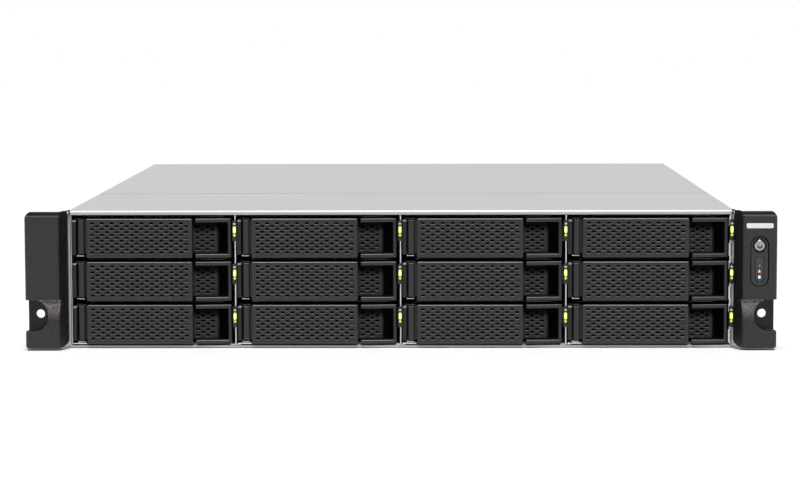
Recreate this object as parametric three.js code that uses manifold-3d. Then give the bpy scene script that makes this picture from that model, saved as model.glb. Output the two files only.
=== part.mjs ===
// A 2U rack-mount network storage unit with twelve hot-swap drive trays in four columns of three.
// Millimetres, +Z up. The drive fronts face -Y and the power supplies -- with their handles -- face +Y.
// Every piece is drawn in case coordinates (y = 0 at the case's front edge, z = 0 under its floor), in a
// group that puts the origin under the middle of the whole unit.
import * as THREE from "three";
import { mergeVertices } from "three/addons/utils/BufferGeometryUtils.js";
import Module from "manifold-3d";

const wasm = await Module();
wasm.setup();

// ---------------------------------------------------------------- driving dimensions

const GAP = 0.3; // between pieces that touch on the real unit
const CASE = { width: 430, depth: 520, height: 88.8, sheet: 1.2, bend: 2.4 };
const HALF = CASE.width / 2;
const INNER = HALF - CASE.sheet; // inside face of a side wall
const COLUMNS = 4;
const ROWS = 3;
const BAY = (2 * INNER) / COLUMNS; // pitch of the drive columns
const ROW_PITCH = 28;
const FIRST_ROW = 2.3; // underside of the lowest tray
const SEAM = 160; // where the fixed front plate ends and the sliding cover starts
const LIP = { thick: 1.2, drop: 2.7 }; // the front plate's folded front edge

const EAR = {
  outer: 241.3,
  front: -14,
  back: -5.8,
  innerFront: 219.5,
  innerBack: 214.3,
  bottom: 0.8,
  top: 89.4,
  padTop: 86.2, // top of the front face; a dark crown rises behind it
  crownTop: 88.8, // the crown rises to the full height only at its inner end
  crown: 2.4, // how far the crown is set back
  blockBottom: 32.2, // underside of the upper block
  notchBottom: 11.9,
};
const RACK_HOLE = { x: 232.55, z: 22.7, radius: 2.75 }; // 465.1 mm apart, middle hole of the lower unit
const BRACKET = { outer: 240.2, thick: 1.7, bottom: 4, top: 86.4, arm: 58 };
const CONTROL = { x: 230.1, z: 56.8, width: 11.7, height: 32.8, depth: 3.5, sunk: 1.4 };
const BUTTON = { z: 67.2, radius: 3.8 };
const STATUS = { z: 51.9, width: 5.5, height: 16.6 };
const BADGE = { z: 79.8, width: 17.6, height: 3.5, depth: 0.6 }; // recess for a blank badge

const TRAY = {
  height: 25.4,
  left: 1.5,
  right: 104.3,
  length: 168,
  face: -2, // front face of the lever, ahead of the case's edge
};
const DRIVE = { width: 101.6, length: 147, height: 26.1, front: 18, lift: 0.3 };
const LEVER = { left: 10.5, right: 79.3, wall: 1.4, depth: 6, pivotX: 6.9, pivotY: 3, barrel: 2.2 };
const FRAME = { left: 81.1, slant: 2.3, bar: 2.4, side: 2.1, deep: 16 }; // the U round the finger pocket
const LATCH = { left: 76.5, right: 96.2, front: 4.5, thick: 1.2, curl: 1.8 };

const BACKPLANE = { front: 176, thick: 1.6 };
const FAN = { count: 3, pitch: 135, size: 80, depth: 25.4, front: 205, bore: 38, hub: 17, blades: 7 };
const PSU = { x: 172.75, width: 73.5, height: 39.5, length: 184.5, back: 519.5, floors: [1.8, 44.9] };
const HANDLE = { x: 188, width: 4, reach: 26.5, bar: 3.5 };
const BOARD = { left: -205, right: 122, front: 290, back: 512, z: 8, thick: 1.6 };
const HEATSINK = { left: -58, width: 90, front: 372, back: 462, lift: 4, height: 42, fins: 7, fin: 4 };
const PORTS = { left: -52, pitch: 17.5, count: 4, width: 11.8, height: 8.4, depth: 13, back: 520.4 };
const REAR_PANEL = { front: 518.5, back: 519.7 };

const UNIT_FRONT = EAR.front;
const UNIT_BACK = PSU.back + HANDLE.reach;

// ---------------------------------------------------------------- materials

const finish = (color, roughness, metalness = 0) =>
  new THREE.MeshStandardMaterial({ color, roughness, metalness });
const COVER_STEEL = finish(0xccc9cc, 0.45, 0.6);
const ZINC_STEEL = finish(0xb4b8bc, 0.35, 0.9);
const EAR_PLASTIC = finish(0x363336, 0.6);
const TRAY_PLASTIC = finish(0x484549, 0.55);
const GLOSS_BLACK = finish(0x2a2a2d, 0.25);
const CHROME = finish(0xc8c8cc, 0.12, 1);
const WINDOW = finish(0x3c3c40, 0.2);
const BOARD_GREEN = finish(0x1d3a2a, 0.5);
const FAN_BLACK = finish(0x18181a, 0.5);
const ALUMINIUM = finish(0xb9bbbd, 0.4, 0.9);
const LATCH_COLOUR = finish(0x2f7d57, 0.5);

// ---------------------------------------------------------------- solids from three.js geometries

// A closed geometry as a manifold-3d solid.
function toSolid(geometry) {
  const bare = geometry.clone();
  bare.deleteAttribute("normal");
  bare.deleteAttribute("uv");
  const merged = mergeVertices(bare, 1e-4);
  const vertProperties = merged.attributes.position.array;
  const triVerts = new Uint32Array(merged.index.array);
  return new wasm.Manifold(new wasm.Mesh({ numProp: 3, vertProperties, triVerts }));
}

// A manifold-3d solid as a flat-shaded geometry.
function toGeometry(solid) {
  const mesh = solid.getMesh();
  const geometry = new THREE.BufferGeometry();
  geometry.setAttribute("position", new THREE.BufferAttribute(mesh.vertProperties, 3));
  geometry.setIndex(new THREE.BufferAttribute(mesh.triVerts, 1));
  return geometry;
}

const join = (...solids) => solids.reduce((whole, next) => whole.add(next));
const cut = (solid, ...tools) => tools.reduce((left, tool) => left.subtract(tool), solid);

// A box from its limits along x, y and z.
function block([x0, x1], [y0, y1], [z0, z1]) {
  const box = new THREE.BoxGeometry(x1 - x0, y1 - y0, z1 - z0);
  return toSolid(box.translate((x0 + x1) / 2, (y0 + y1) / 2, (z0 + z1) / 2));
}

const shapeOf = (outline) =>
  outline instanceof THREE.Shape
    ? outline
    : new THREE.Shape(outline.map(([a, b]) => new THREE.Vector2(a, b)));

function extrude(outline, length, curveSegments) {
  const options = { depth: length, bevelEnabled: false, curveSegments };
  return new THREE.ExtrudeGeometry(shapeOf(outline), options);
}

// An (x, y) outline standing from z0 to z1.
const plan = (outline, [z0, z1], segments = 6) =>
  toSolid(extrude(outline, z1 - z0, segments).translate(0, 0, z0));

// An (x, z) outline reaching from y0 to y1.
const front = (outline, [y0, y1], segments = 6) =>
  toSolid(extrude(outline, y1 - y0, segments).rotateX(Math.PI / 2).translate(0, y1, 0));

// A (y, z) outline reaching from x0 to x1.
function side(outline, [x0, x1], segments = 6) {
  const turn = new THREE.Matrix4().makeBasis(
    new THREE.Vector3(0, 1, 0),
    new THREE.Vector3(0, 0, 1),
    new THREE.Vector3(1, 0, 0),
  );
  return toSolid(extrude(outline, x1 - x0, segments).applyMatrix4(turn).translate(x0, 0, 0));
}

// A cylinder along y, from y0 to y1.
function rod(x, z, radius, [y0, y1], sides = 16) {
  const shaft = new THREE.CylinderGeometry(radius, radius, y1 - y0, sides);
  return toSolid(shaft.translate(x, (y0 + y1) / 2, z));
}

// A cylinder along z, from z0 to z1.
function post(x, y, radius, [z0, z1], sides = 12) {
  const shaft = new THREE.CylinderGeometry(radius, radius, z1 - z0, sides).rotateX(Math.PI / 2);
  return toSolid(shaft.translate(x, y, (z0 + z1) / 2));
}

// An upright slot with round ends, as an (x, z) outline.
function capsule(x, z, width, height) {
  const radius = width / 2;
  const reach = height / 2 - radius;
  const shape = new THREE.Shape();
  shape.absarc(x, z + reach, radius, 0, Math.PI, false);
  shape.absarc(x, z - reach, radius, Math.PI, 2 * Math.PI, false);
  return shape;
}

// A rectangle whose four corners have radii of their own: lower left, lower right, upper right, upper left.
function roundedRectangle([x0, x1], [z0, z1], [lowerLeft, lowerRight, upperRight, upperLeft]) {
  const quarter = Math.PI / 2;
  const shape = new THREE.Shape();
  shape.absarc(x0 + lowerLeft, z0 + lowerLeft, lowerLeft, 2 * quarter, 3 * quarter, false);
  shape.absarc(x1 - lowerRight, z0 + lowerRight, lowerRight, 3 * quarter, 4 * quarter, false);
  shape.absarc(x1 - upperRight, z1 - upperRight, upperRight, 0, quarter, false);
  shape.absarc(x0 + upperLeft, z1 - upperLeft, upperLeft, quarter, 2 * quarter, false);
  return shape;
}

// ---------------------------------------------------------------- case

// Floor and both side walls, folded from one sheet: an upright U run from front to back.
function caseBase() {
  const { sheet, bend, depth, height } = CASE;
  const wallTop = height - sheet - GAP;
  const bends = (r) => [r, r, 0.01, 0.01];
  const skin = front(roundedRectangle([-HALF, HALF], [0, wallTop], bends(bend)), [0, depth], 4);
  const inside = roundedRectangle([-INNER, INNER], [sheet, wallTop + 5], bends(bend - sheet));
  return cut(skin, front(inside, [-1, depth + 1], 4));
}

// Fixed plate over the drive cage, with its front edge folded down.
function frontTopPlate() {
  const { height, sheet } = CASE;
  const plate = block([-HALF, HALF], [0, SEAM], [height - sheet, height]);
  const reach = INNER - 0.5;
  return join(plate, block([-reach, reach], [0, LIP.thick], [height - LIP.drop, height - 0.1]));
}

// Cover that slides off to the back: plate, two side runners inside the walls, and a rear flange with
// two thumbscrews that stops short of the power supplies.
function topCover() {
  const { height, sheet, depth } = CASE;
  const coverFront = SEAM + 0.6;
  const coverBack = depth + GAP + sheet;
  const flangeRight = PSU.x - PSU.width / 2 - 6;
  const runner = { outer: INNER - 0.4, thick: 1.2, bottom: 77 };
  const under = height - sheet;
  const pieces = [block([-HALF, HALF], [coverFront, coverBack], [under, height])];
  for (const s of [-1, 1]) {
    const x = [s * runner.outer, s * (runner.outer - runner.thick)].sort((a, b) => a - b);
    pieces.push(block(x, [BACKPLANE.front, depth - 6], [runner.bottom, under + 0.1]));
  }
  pieces.push(block([-HALF, flangeRight], [depth + GAP, coverBack], [78, under + 0.1]));
  for (const x of [-186, 104]) {
    pieces.push(rod(x, 82.5, 3.9, [coverBack - 0.1, coverBack + 6.5], 12));
  }
  return join(...pieces);
}

// Rear wall, with openings for the two power supplies and for the board's ports.
function rearPanel() {
  const { front: y0, back: y1 } = REAR_PANEL;
  const clear = 0.6;
  const narrow = INNER - 2;
  const wide = INNER - 0.4;
  const outline = [
    [-narrow, 1.5],
    [narrow, 1.5],
    [wide, 3.6],
    [wide, 75],
    [narrow, 75],
    [narrow, 86.6],
    [-narrow, 86.6],
    [-narrow, 75],
    [-wide, 75],
    [-wide, 3.6],
  ];
  const openings = PSU.floors.map((z) => {
    const reach = PSU.width / 2 + clear;
    return block([PSU.x - reach, PSU.x + reach], [y0 - 1, y1 + 1], [z - clear, z + PSU.height + clear]);
  });
  const portsRight = portEdges().right + 1;
  openings.push(block([PORTS.left - 1, portsRight], [y0 - 1, y1 + 1], [BOARD.z + 1.2, BOARD.z + 19.2]));
  return cut(front(outline, [y0, y1]), ...openings);
}

// ---------------------------------------------------------------- drive cage and its boards

// Three dividers and two side sheets on a floor sheet, with a light-pipe holder at the front of the
// right-hand boundary of every bay.
function driveCage() {
  const top = CASE.height - LIP.drop - GAP;
  const bottom = CASE.sheet + GAP;
  const length = BACKPLANE.front - GAP;
  const floorTop = FIRST_ROW - 0.2;
  const sideOuter = INNER - GAP;
  const sideInner = INNER - 0.9;
  const floorReach = sideInner + 0.1;
  const pieces = [block([-floorReach, floorReach], [8, length], [bottom, floorTop])];
  for (let column = 1; column < COLUMNS; column++) {
    const x = -INNER + column * BAY;
    pieces.push(block([x - 0.4, x + 0.4], [0.4, length], [bottom, top]));
  }
  for (const s of [-1, 1]) {
    const x = [s * sideOuter, s * sideInner].sort((a, b) => a - b);
    pieces.push(block(x, [0.4, length], [bottom + 0.5, top])); // clear of the floor's bend
  }
  const holder = { width: 2.8, height: 12.6, low: 10.3, front: -2.2, back: 4 };
  for (let column = 1; column <= COLUMNS; column++) {
    const x = -INNER + column * BAY - 0.3; // clear of both neighbouring trays
    for (let row = 0; row < ROWS; row++) {
      const z = FIRST_ROW + row * ROW_PITCH + holder.low;
      const stem = column === COLUMNS ? [sideInner - 0.6, sideOuter] : [x - 0.8, x + 1.1];
      pieces.push(block(stem, [-GAP - 0.2, holder.back], [z, z + holder.height]));
      const head = [x - holder.width / 2, x + holder.width / 2];
      pieces.push(block(head, [holder.front, -GAP], [z, z + holder.height]));
    }
  }
  return join(...pieces);
}

// Board across the back of the cage: a connector for each drive, and air slots between them.
function backplane() {
  const { front: y0, thick } = BACKPLANE;
  const driveBack = DRIVE.front + DRIVE.length;
  let board = block([-INNER + 2, INNER - 2], [y0, y0 + thick], [3, 85.5]);
  for (let column = 0; column < COLUMNS; column++) {
    const left = -INNER + column * BAY;
    for (let row = 0; row < ROWS; row++) {
      const z = FIRST_ROW + row * ROW_PITCH;
      const slot = block([left + 52, left + 98], [y0 - 1, y0 + thick + 1], [z + 10, z + 20]);
      const plug = block([left + 8, left + 50], [driveBack + 0.6, y0 + 0.1], [z + 4, z + 9]);
      board = join(cut(board, slot), plug);
    }
  }
  return board;
}

// ---------------------------------------------------------------- drive trays, in bay coordinates
// x runs from the bay's left boundary, z from the tray's underside.

// Drive and its carrier: side rails, a post with the lever's two hinge lugs on the left, and the
// U-shaped frame round the finger pocket on the right.
function trayCarrier() {
  const middle = BAY / 2;
  const driveX = [middle - DRIVE.width / 2, middle + DRIVE.width / 2];
  const driveZ = [DRIVE.lift, DRIVE.lift + DRIVE.height];
  const drive = block(driveX, [DRIVE.front, DRIVE.front + DRIVE.length], driveZ);
  const rail = 0.7;
  const rails = block([driveX[0] - rail, driveX[1] + rail], [DRIVE.front - 2, TRAY.length], [4, 20]);
  const connectorGap = block([8, 50], [DRIVE.front + DRIVE.length, TRAY.length + 1], [3, 10]);

  const root = DRIVE.front + 1; // every front piece runs this far back, into the drive block
  const leftPost = block([TRAY.left, 9.8], [10, root], [0, TRAY.height]);
  const sideStrip = block([TRAY.left, TRAY.left + 2.3], [-0.5, root], [2.1, 23.5]);
  const lugX = [LEVER.pivotX - 2.7, LEVER.pivotX + 2.7];
  const lugs = [
    [0.6, 1.5],
    [24.6, TRAY.height],
  ].map((z) => block(lugX, [LEVER.pivotY - 2, 11], z));
  const sills = [
    [0, 1.4],
    [24, TRAY.height],
  ].map((z) => block([10, FRAME.left + 1], [LEVER.depth + 1, root], z));

  const frameOutline = [
    [FRAME.left, TRAY.face],
    [TRAY.right, TRAY.face + FRAME.slant],
    [TRAY.right, root],
    [FRAME.left, root],
  ];
  const frame = plan(frameOutline, [0, TRAY.height]);
  const pocketX = [FRAME.left - 9, TRAY.right - FRAME.side];
  const pocketZ = [FRAME.bar, TRAY.height - FRAME.bar];
  const pocket = block(pocketX, [TRAY.face - 1, FRAME.deep], pocketZ);
  const whole = join(drive, rails, leftPost, sideStrip, ...lugs, ...sills, frame);
  return cut(whole, pocket, connectorGap);
}

// Perforated lever as a shallow tray, with its hinge barrel on the left and a catch at the free end.
function trayLever() {
  const { left, right, wall, depth, pivotX, pivotY, barrel } = LEVER;
  const back = TRAY.face + wall;
  const shell = block([left, right], [TRAY.face, depth], [0, TRAY.height]);
  const hollow = block([left + wall, right - wall], [back, depth + 1], [wall, TRAY.height - wall]);
  const open = block([left - 1, left + wall + 0.1], [pivotY + 1, depth + 1], [-1, TRAY.height + 1]);
  const knuckle = [2.3, 24.3];
  const pin = post(pivotX, pivotY, barrel, knuckle);
  const arm = block([pivotX, left + wall], [pivotY - 0.9, pivotY + 0.9], knuckle);
  const endWall = block([right - wall - 1, right + 1], [2, depth + 1], [-1, TRAY.height + 1]);
  const catchHook = block([73.6, 76.1], [back - 0.1, 8], [9.5, 15.9]);
  return join(cut(shell, hollow, open, endWall), pin, arm, catchHook);
}

// Release slider behind the finger pocket: a plate whose right-hand end curls back as a finger grip.
function trayLatch() {
  const { left, right, front: y0, thick, curl } = LATCH;
  const shape = new THREE.Shape();
  shape.moveTo(left, y0);
  shape.absarc(right - curl, y0 + curl, curl, -Math.PI / 2, 0, false);
  shape.lineTo(right, y0 + 2 * curl);
  shape.lineTo(right - thick, y0 + 2 * curl);
  shape.absarc(right - curl, y0 + curl, curl - thick, 0, -Math.PI / 2, true);
  shape.lineTo(left, y0 + thick);
  return plan(shape, [FRAME.bar + GAP, TRAY.height - FRAME.bar - GAP], 4);
}

// ---------------------------------------------------------------- rack ears, drawn for the left side

// Mounting bracket: a flange with the rack screw's hole, and an arm along the case's side.
function rackBracket() {
  const { outer, thick, bottom, top, arm } = BRACKET;
  const inner = HALF + GAP;
  const y0 = EAR.back + GAP;
  const flange = block([-outer, -inner], [y0, y0 + thick], [bottom, top]);
  const limb = block([-inner - thick, -inner], [y0, arm], [bottom, top]);
  const hole = rod(-RACK_HOLE.x, RACK_HOLE.z, RACK_HOLE.radius, [y0 - 1, y0 + thick + 1]);
  return cut(join(flange, limb), hole);
}

// Plastic cover of an ear: an upper block, a shoulder that rolls forward below it, and a round notch
// that leaves the rack screw free.
function earCover() {
  const { outer, innerFront, innerBack, back, bottom, top } = EAR;
  const y = EAR.front;
  const body = plan(
    [
      [-outer, back],
      [-outer, y + 1.3],
      [-outer + 1.2, y],
      [-innerFront - 0.8, y],
      [-innerFront, y + 0.7],
      [-innerBack, back],
    ],
    [bottom, top],
  );
  const silhouette = roundedRectangle([-outer, -innerBack + 1], [bottom, top], [1.8, 0.6, 0.6, 5]);
  const rounded = body.intersect(front(silhouette, [y - 1, back + 1], 5));
  const hook = block([-innerBack - 1.2, -INNER + 0.4], [back - 1.6, 2.5], [CASE.height + GAP, top]);

  const step = [
    [y - 1, EAR.padTop],
    [y + EAR.crown - 0.6, EAR.padTop],
    [y + EAR.crown, top + 0.1],
    [y - 1, top + 0.1],
  ];

  const crown = [
    [-outer - 1, EAR.crownTop],
    [-innerFront, EAR.crownTop],
    [-innerFront + 2.4, top + 0.1],
    [-outer - 1, top + 0.1],
  ];
  const foot = [
    [-innerFront, bottom - 0.1],
    [-innerFront + 2.8, bottom + 1],
    [-innerBack, bottom + 3.4],
    [-innerBack + 1, bottom - 0.1],
  ];
  const through = [y - 1, back + 1];

  // The shoulder is an arc that is flush with the front face at its foot and deepest under the block.
  const shoulder = { radius: 40, foot: 16.2, steps: 7 };
  const rise = EAR.blockBottom - shoulder.foot;
  const arc = [];
  for (let i = 0; i <= shoulder.steps; i++) {
    const z = (rise * i) / shoulder.steps;
    const sink = shoulder.radius - Math.sqrt(shoulder.radius ** 2 - z ** 2);
    arc.push([y + sink, shoulder.foot + z]);
  }
  const scoop = [[y - 1, shoulder.foot], ...arc, [y - 1, EAR.blockBottom]];

  const notchRadius = (EAR.blockBottom - EAR.notchBottom) / 2;
  const notchZ = EAR.notchBottom + notchRadius;
  const notchX = -226.7 - notchRadius;
  const notchFloor = back - 1.2;
  const notch = join(
    rod(notchX, notchZ, notchRadius, [y - 1, notchFloor], 32),
    block([-outer - 1, notchX], [y - 1, notchFloor], [EAR.notchBottom, EAR.blockBottom]),
  );
  const trim = block([-outer - 1, -BRACKET.outer], through, [EAR.notchBottom, EAR.blockBottom]);
  const hole = rod(-RACK_HOLE.x, RACK_HOLE.z, RACK_HOLE.radius + 0.1, through);
  const span = [-outer - 1, -HALF + 5];
  const trimmed = cut(rounded, front(crown, through), front(foot, through));
  return cut(join(trimmed, hook), side(step, span), side(scoop, span), notch, trim, hole);
}

// Pocket in an ear cover for the control inlay, with a deeper well for the button, and the shallow
// recess for the badge above it.
function controlPocket() {
  const { x, z, width, height, depth } = CONTROL;
  const y = EAR.front;
  const pocket = front(capsule(-x, z, width, height), [y - 1, y + depth], 6);
  const well = rod(-x, BUTTON.z, BUTTON.radius + 0.4, [y - 1, y + 6.6], 20);
  const badgeX = [-x - BADGE.width / 2, -x + BADGE.width / 2];
  const badgeZ = [BADGE.z - BADGE.height / 2, BADGE.z + BADGE.height / 2];
  return join(pocket, well, block(badgeX, [y - 1, y + BADGE.depth], badgeZ));
}

// Inlay that frames the power button and the status window.
function controlInlay() {
  const { x, z, width, height, depth, sunk } = CONTROL;
  const y = [EAR.front + sunk, EAR.front + depth - GAP];
  const through = [y[0] - 1, y[1] + 1];
  return cut(
    front(capsule(-x, z, width - 2 * GAP, height - 2 * GAP), y, 6),
    rod(-x, BUTTON.z, BUTTON.radius + 0.25, through, 20),
    front(capsule(-x, STATUS.z, STATUS.width, STATUS.height), through, 5),
  );
}

const statusWindow = () =>
  front(
    capsule(-CONTROL.x, STATUS.z, STATUS.width - 0.4, STATUS.height - 0.4),
    [EAR.front + CONTROL.sunk + 0.2, EAR.front + CONTROL.depth - GAP],
    5,
  );

const powerButton = () =>
  rod(-CONTROL.x, BUTTON.z, BUTTON.radius, [EAR.front + 0.6, EAR.front + 5], 20);

// ---------------------------------------------------------------- fans

const fanX = (index) => (index - (FAN.count - 1) / 2) * FAN.pitch;
const fanZ = CASE.height / 2;

// An eight-sided prism along y whose flats lie at a distance from its axis.
function octagon(x, z, reach, [y0, y1]) {
  const corner = reach / Math.cos(Math.PI / 8);
  const shaft = new THREE.CylinderGeometry(corner, corner, y1 - y0, 8).rotateY(Math.PI / 8);
  return toSolid(shaft.translate(x, (y0 + y1) / 2, z));
}

// Bracket across the case with a fan frame at each place: square frame, eight-sided bore and a bar that
// carries the motor.
function fanWall() {
  const { size, depth, front: y0, bore } = FAN;
  const y1 = y0 + depth;
  const plate = [y1 - 0.1, y1 + 1.2];
  const reach = INNER - 2.6; // inside the cover's side runners
  let wall = block([-reach, reach], plate, [CASE.sheet + GAP, 86.6]);
  for (let i = 0; i < FAN.count; i++) {
    const x = fanX(i);
    const half = size / 2;
    wall = join(wall, block([x - half, x + half], [y0, y1], [fanZ - half, fanZ + half]));
    wall = cut(wall, octagon(x, fanZ, bore, [y0 - 1, y1 + 3]));
    const bar = block([x - bore - 0.5, x + bore + 0.5], [y1 - 3, y1], [fanZ - 5, fanZ + 5]);
    wall = join(wall, bar);
  }
  return wall;
}

// Hub and pitched blades, about the fan's own axis.
function fanRotor() {
  const { depth, front: y0, bore, hub, blades } = FAN;
  const tip = bore - 1.2;
  const y = [y0 + 2, y0 + depth - 5];
  const pieces = [rod(0, 0, hub, y, 18)];
  for (let i = 0; i < blades; i++) {
    const chord = 15;
    const blade = new THREE.BoxGeometry(tip - hub + 2, 1.4, chord);
    blade.rotateX(0.75).translate((tip + hub - 2) / 2, (y[0] + y[1]) / 2, 0);
    pieces.push(toSolid(blade.rotateY((i * 2 * Math.PI) / blades)));
  }
  return join(...pieces).intersect(rod(0, 0, tip, [y[0] - 1, y[1] + 1], 24));
}

// ---------------------------------------------------------------- electronics and power

const portEdges = () => {
  const jacksRight = PORTS.left + PORTS.count * PORTS.pitch;
  return { jacksRight, right: jacksRight + 16 };
};

// Main board on standoffs, with its soldered ports, memory sockets, processor socket and expansion slot.
function mainBoard() {
  const { left, right, front: y0, back: y1, z, thick } = BOARD;
  const surface = z + thick - 0.1;
  const { jacksRight, right: usbRight } = portEdges();
  const portBlock = [PORTS.back - 21, PORTS.back];
  let board = join(
    block([left, right], [y0, y1], [z, z + thick]),
    block([PORTS.left, jacksRight], portBlock, [surface, z + 16]),
    block([jacksRight - 0.1, usbRight], portBlock, [surface, z + 18]),
    block([left + 30, left + 36], [360, 448], [surface, z + 12]),
  );
  const socketX = [HEATSINK.left + 25, HEATSINK.left + HEATSINK.width - 25];
  const socketY = [HEATSINK.front + 25, HEATSINK.back - 25];
  board = join(board, block(socketX, socketY, [surface, z + thick + HEATSINK.lift - GAP]));
  for (let i = 0; i < 2; i++) {
    const x = 62 + i * 11;
    board = join(board, block([x, x + 6], [330, 464], [surface, z + 9]));
  }
  for (const x of [left + 10, (left + right) / 2, right - 10]) {
    for (const y of [y0 + 10, y1 - 30]) {
      board = join(board, post(x, y, 3, [CASE.sheet + GAP, z + 0.1], 6));
    }
  }
  for (let i = 0; i < PORTS.count; i++) {
    const x = PORTS.left + (i + 0.5) * PORTS.pitch;
    const mouth = [x - PORTS.width / 2, x + PORTS.width / 2];
    const jack = block(mouth, [PORTS.back - PORTS.depth, PORTS.back + 1], [z + 4, z + 4 + PORTS.height]);
    board = cut(board, jack);
  }
  for (const level of [z + 3.4, z + 10.6]) {
    const socket = [PORTS.back - PORTS.depth, PORTS.back + 1];
    board = cut(board, block([jacksRight + 1.5, jacksRight + 14.5], socket, [level, level + 5.4]));
  }
  return board;
}

// Processor heatsink: base and upright fins.
function heatsink() {
  const { left, width, lift, height, fins, fin } = HEATSINK;
  const y = [HEATSINK.front, HEATSINK.back];
  const base = BOARD.z + BOARD.thick + lift;
  const pieces = [block([left, left + width], y, [base, base + 5])];
  for (let i = 0; i < fins; i++) {
    const x = left + (i * (width - fin)) / (fins - 1);
    pieces.push(block([x, x + fin], y, [base + 4.9, base + height]));
  }
  return join(...pieces);
}

// Wall and middle shelf that hold the two power supplies.
function psuCage() {
  const wallRight = PSU.x - PSU.width / 2 - 1.2;
  const y = [PSU.back - PSU.length, REAR_PANEL.front - GAP];
  const shelfZ = PSU.floors[1] - 1.4;
  return join(
    block([wallRight - 1, wallRight], y, [CASE.sheet + GAP, 86.6]),
    block([wallRight - 0.1, INNER - GAP - 2], y, [shelfZ, shelfZ + 1]),
  );
}

// One power supply, standing on z = 0: case with an inlet socket, and a fixed loop handle.
function powerSupply() {
  const { x, width, height, length, back } = PSU;
  const shell = block([x - width / 2, x + width / 2], [back - length, back], [0, height]);
  const inlet = block([x - 31, x - 6], [back - 15, back + 1], [11.5, 28]);
  const loop = [HANDLE.x - HANDLE.width / 2, HANDLE.x + HANDLE.width / 2];
  const reach = [back - 0.5, back + HANDLE.reach];
  const bail = block(loop, reach, [5, height - 5]);
  const grip = block([loop[0] - 1, loop[1] + 1], [back, reach[1] - HANDLE.bar], [8.2, height - 8.2]);
  return join(cut(shell, inlet), cut(bail, grip));
}

// Release tab of a power supply, in the same coordinates.
function psuLatch() {
  const y0 = PSU.back + GAP;
  const tab = block([197, 205.5], [y0, y0 + 1.2], [8, PSU.height - 8]);
  return join(tab, block([203, 205.5], [y0 + 1.1, y0 + 11], [13, PSU.height - 13]));
}

// ---------------------------------------------------------------- assembly

const unit = new THREE.Group();
const frame = new THREE.Group();
frame.position.y = -(UNIT_FRONT + UNIT_BACK) / 2;
unit.add(frame);

function place(name, solid, material, parent = frame) {
  const geometry = solid instanceof THREE.BufferGeometry ? solid : toGeometry(solid);
  const mesh = new THREE.Mesh(geometry, material);
  mesh.name = name;
  parent.add(mesh);
  return mesh;
}

place("case_base", caseBase(), COVER_STEEL);
place("front_top_plate", frontTopPlate(), COVER_STEEL);
place("top_cover", topCover(), COVER_STEEL);
place("rear_panel", rearPanel(), COVER_STEEL);
place("drive_cage", driveCage(), ZINC_STEEL);
place("backplane_board", backplane(), BOARD_GREEN);

const carrier = toGeometry(trayCarrier());
const lever = toGeometry(trayLever());
const latch = toGeometry(trayLatch());
for (let index = 0; index < COLUMNS * ROWS; index++) {
  const column = index % COLUMNS;
  const row = Math.floor(index / COLUMNS); // counted from the top
  const bay = new THREE.Group();
  bay.position.set(-INNER + column * BAY, 0, FIRST_ROW + (ROWS - 1 - row) * ROW_PITCH);
  frame.add(bay);
  const label = `tray_${String(index + 1).padStart(2, "0")}`;
  place(`${label}_carrier`, carrier, TRAY_PLASTIC, bay);
  place(`${label}_lever`, lever, TRAY_PLASTIC, bay);
  place(`${label}_latch`, latch, TRAY_PLASTIC, bay);
}

const rightSide = new THREE.Group();
rightSide.scale.x = -1;
frame.add(rightSide);
place("left_rack_bracket", rackBracket(), ZINC_STEEL);
place("right_rack_bracket", rackBracket(), ZINC_STEEL, rightSide);
place("left_ear_cover", earCover(), EAR_PLASTIC);
place("right_ear_cover", cut(earCover(), controlPocket()), EAR_PLASTIC, rightSide);
place("control_inlay", controlInlay(), GLOSS_BLACK, rightSide);
place("status_window", statusWindow(), WINDOW, rightSide);
place("power_button", powerButton(), CHROME, rightSide);

place("fan_wall", fanWall(), FAN_BLACK);
const rotor = toGeometry(fanRotor());
for (let i = 0; i < FAN.count; i++) {
  place(`fan_rotor_${i + 1}`, rotor, FAN_BLACK).position.set(fanX(i), 0, fanZ);
}

place("main_board", mainBoard(), BOARD_GREEN);
place("cpu_heatsink", heatsink(), ALUMINIUM);
place("psu_cage", psuCage(), ZINC_STEEL);
const supply = toGeometry(powerSupply());
const release = toGeometry(psuLatch());
PSU.floors.forEach((z, i) => {
  place(`power_supply_${i + 1}`, supply, ZINC_STEEL).position.z = z;
  place(`power_supply_${i + 1}_latch`, release, LATCH_COLOUR).position.z = z;
});

export default unit;
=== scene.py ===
"""Looks of a 2U rack-mount network storage unit with twelve drive trays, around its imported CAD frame.

Shapes are drawn in millimetres in case coordinates: x = 0 in the middle of the case, y = 0 at its front
edge and growing to the rear, z = 0 under its floor. piece() turns them into metres in the frame. A pair of
numbers in a call is a lower and an upper limit along one direction.
"""

from math import cos, pi, radians, sin, sqrt

import bmesh
import bpy
from mathutils import Matrix, Vector
from mathutils.geometry import delaunay_2d_cdt


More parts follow.
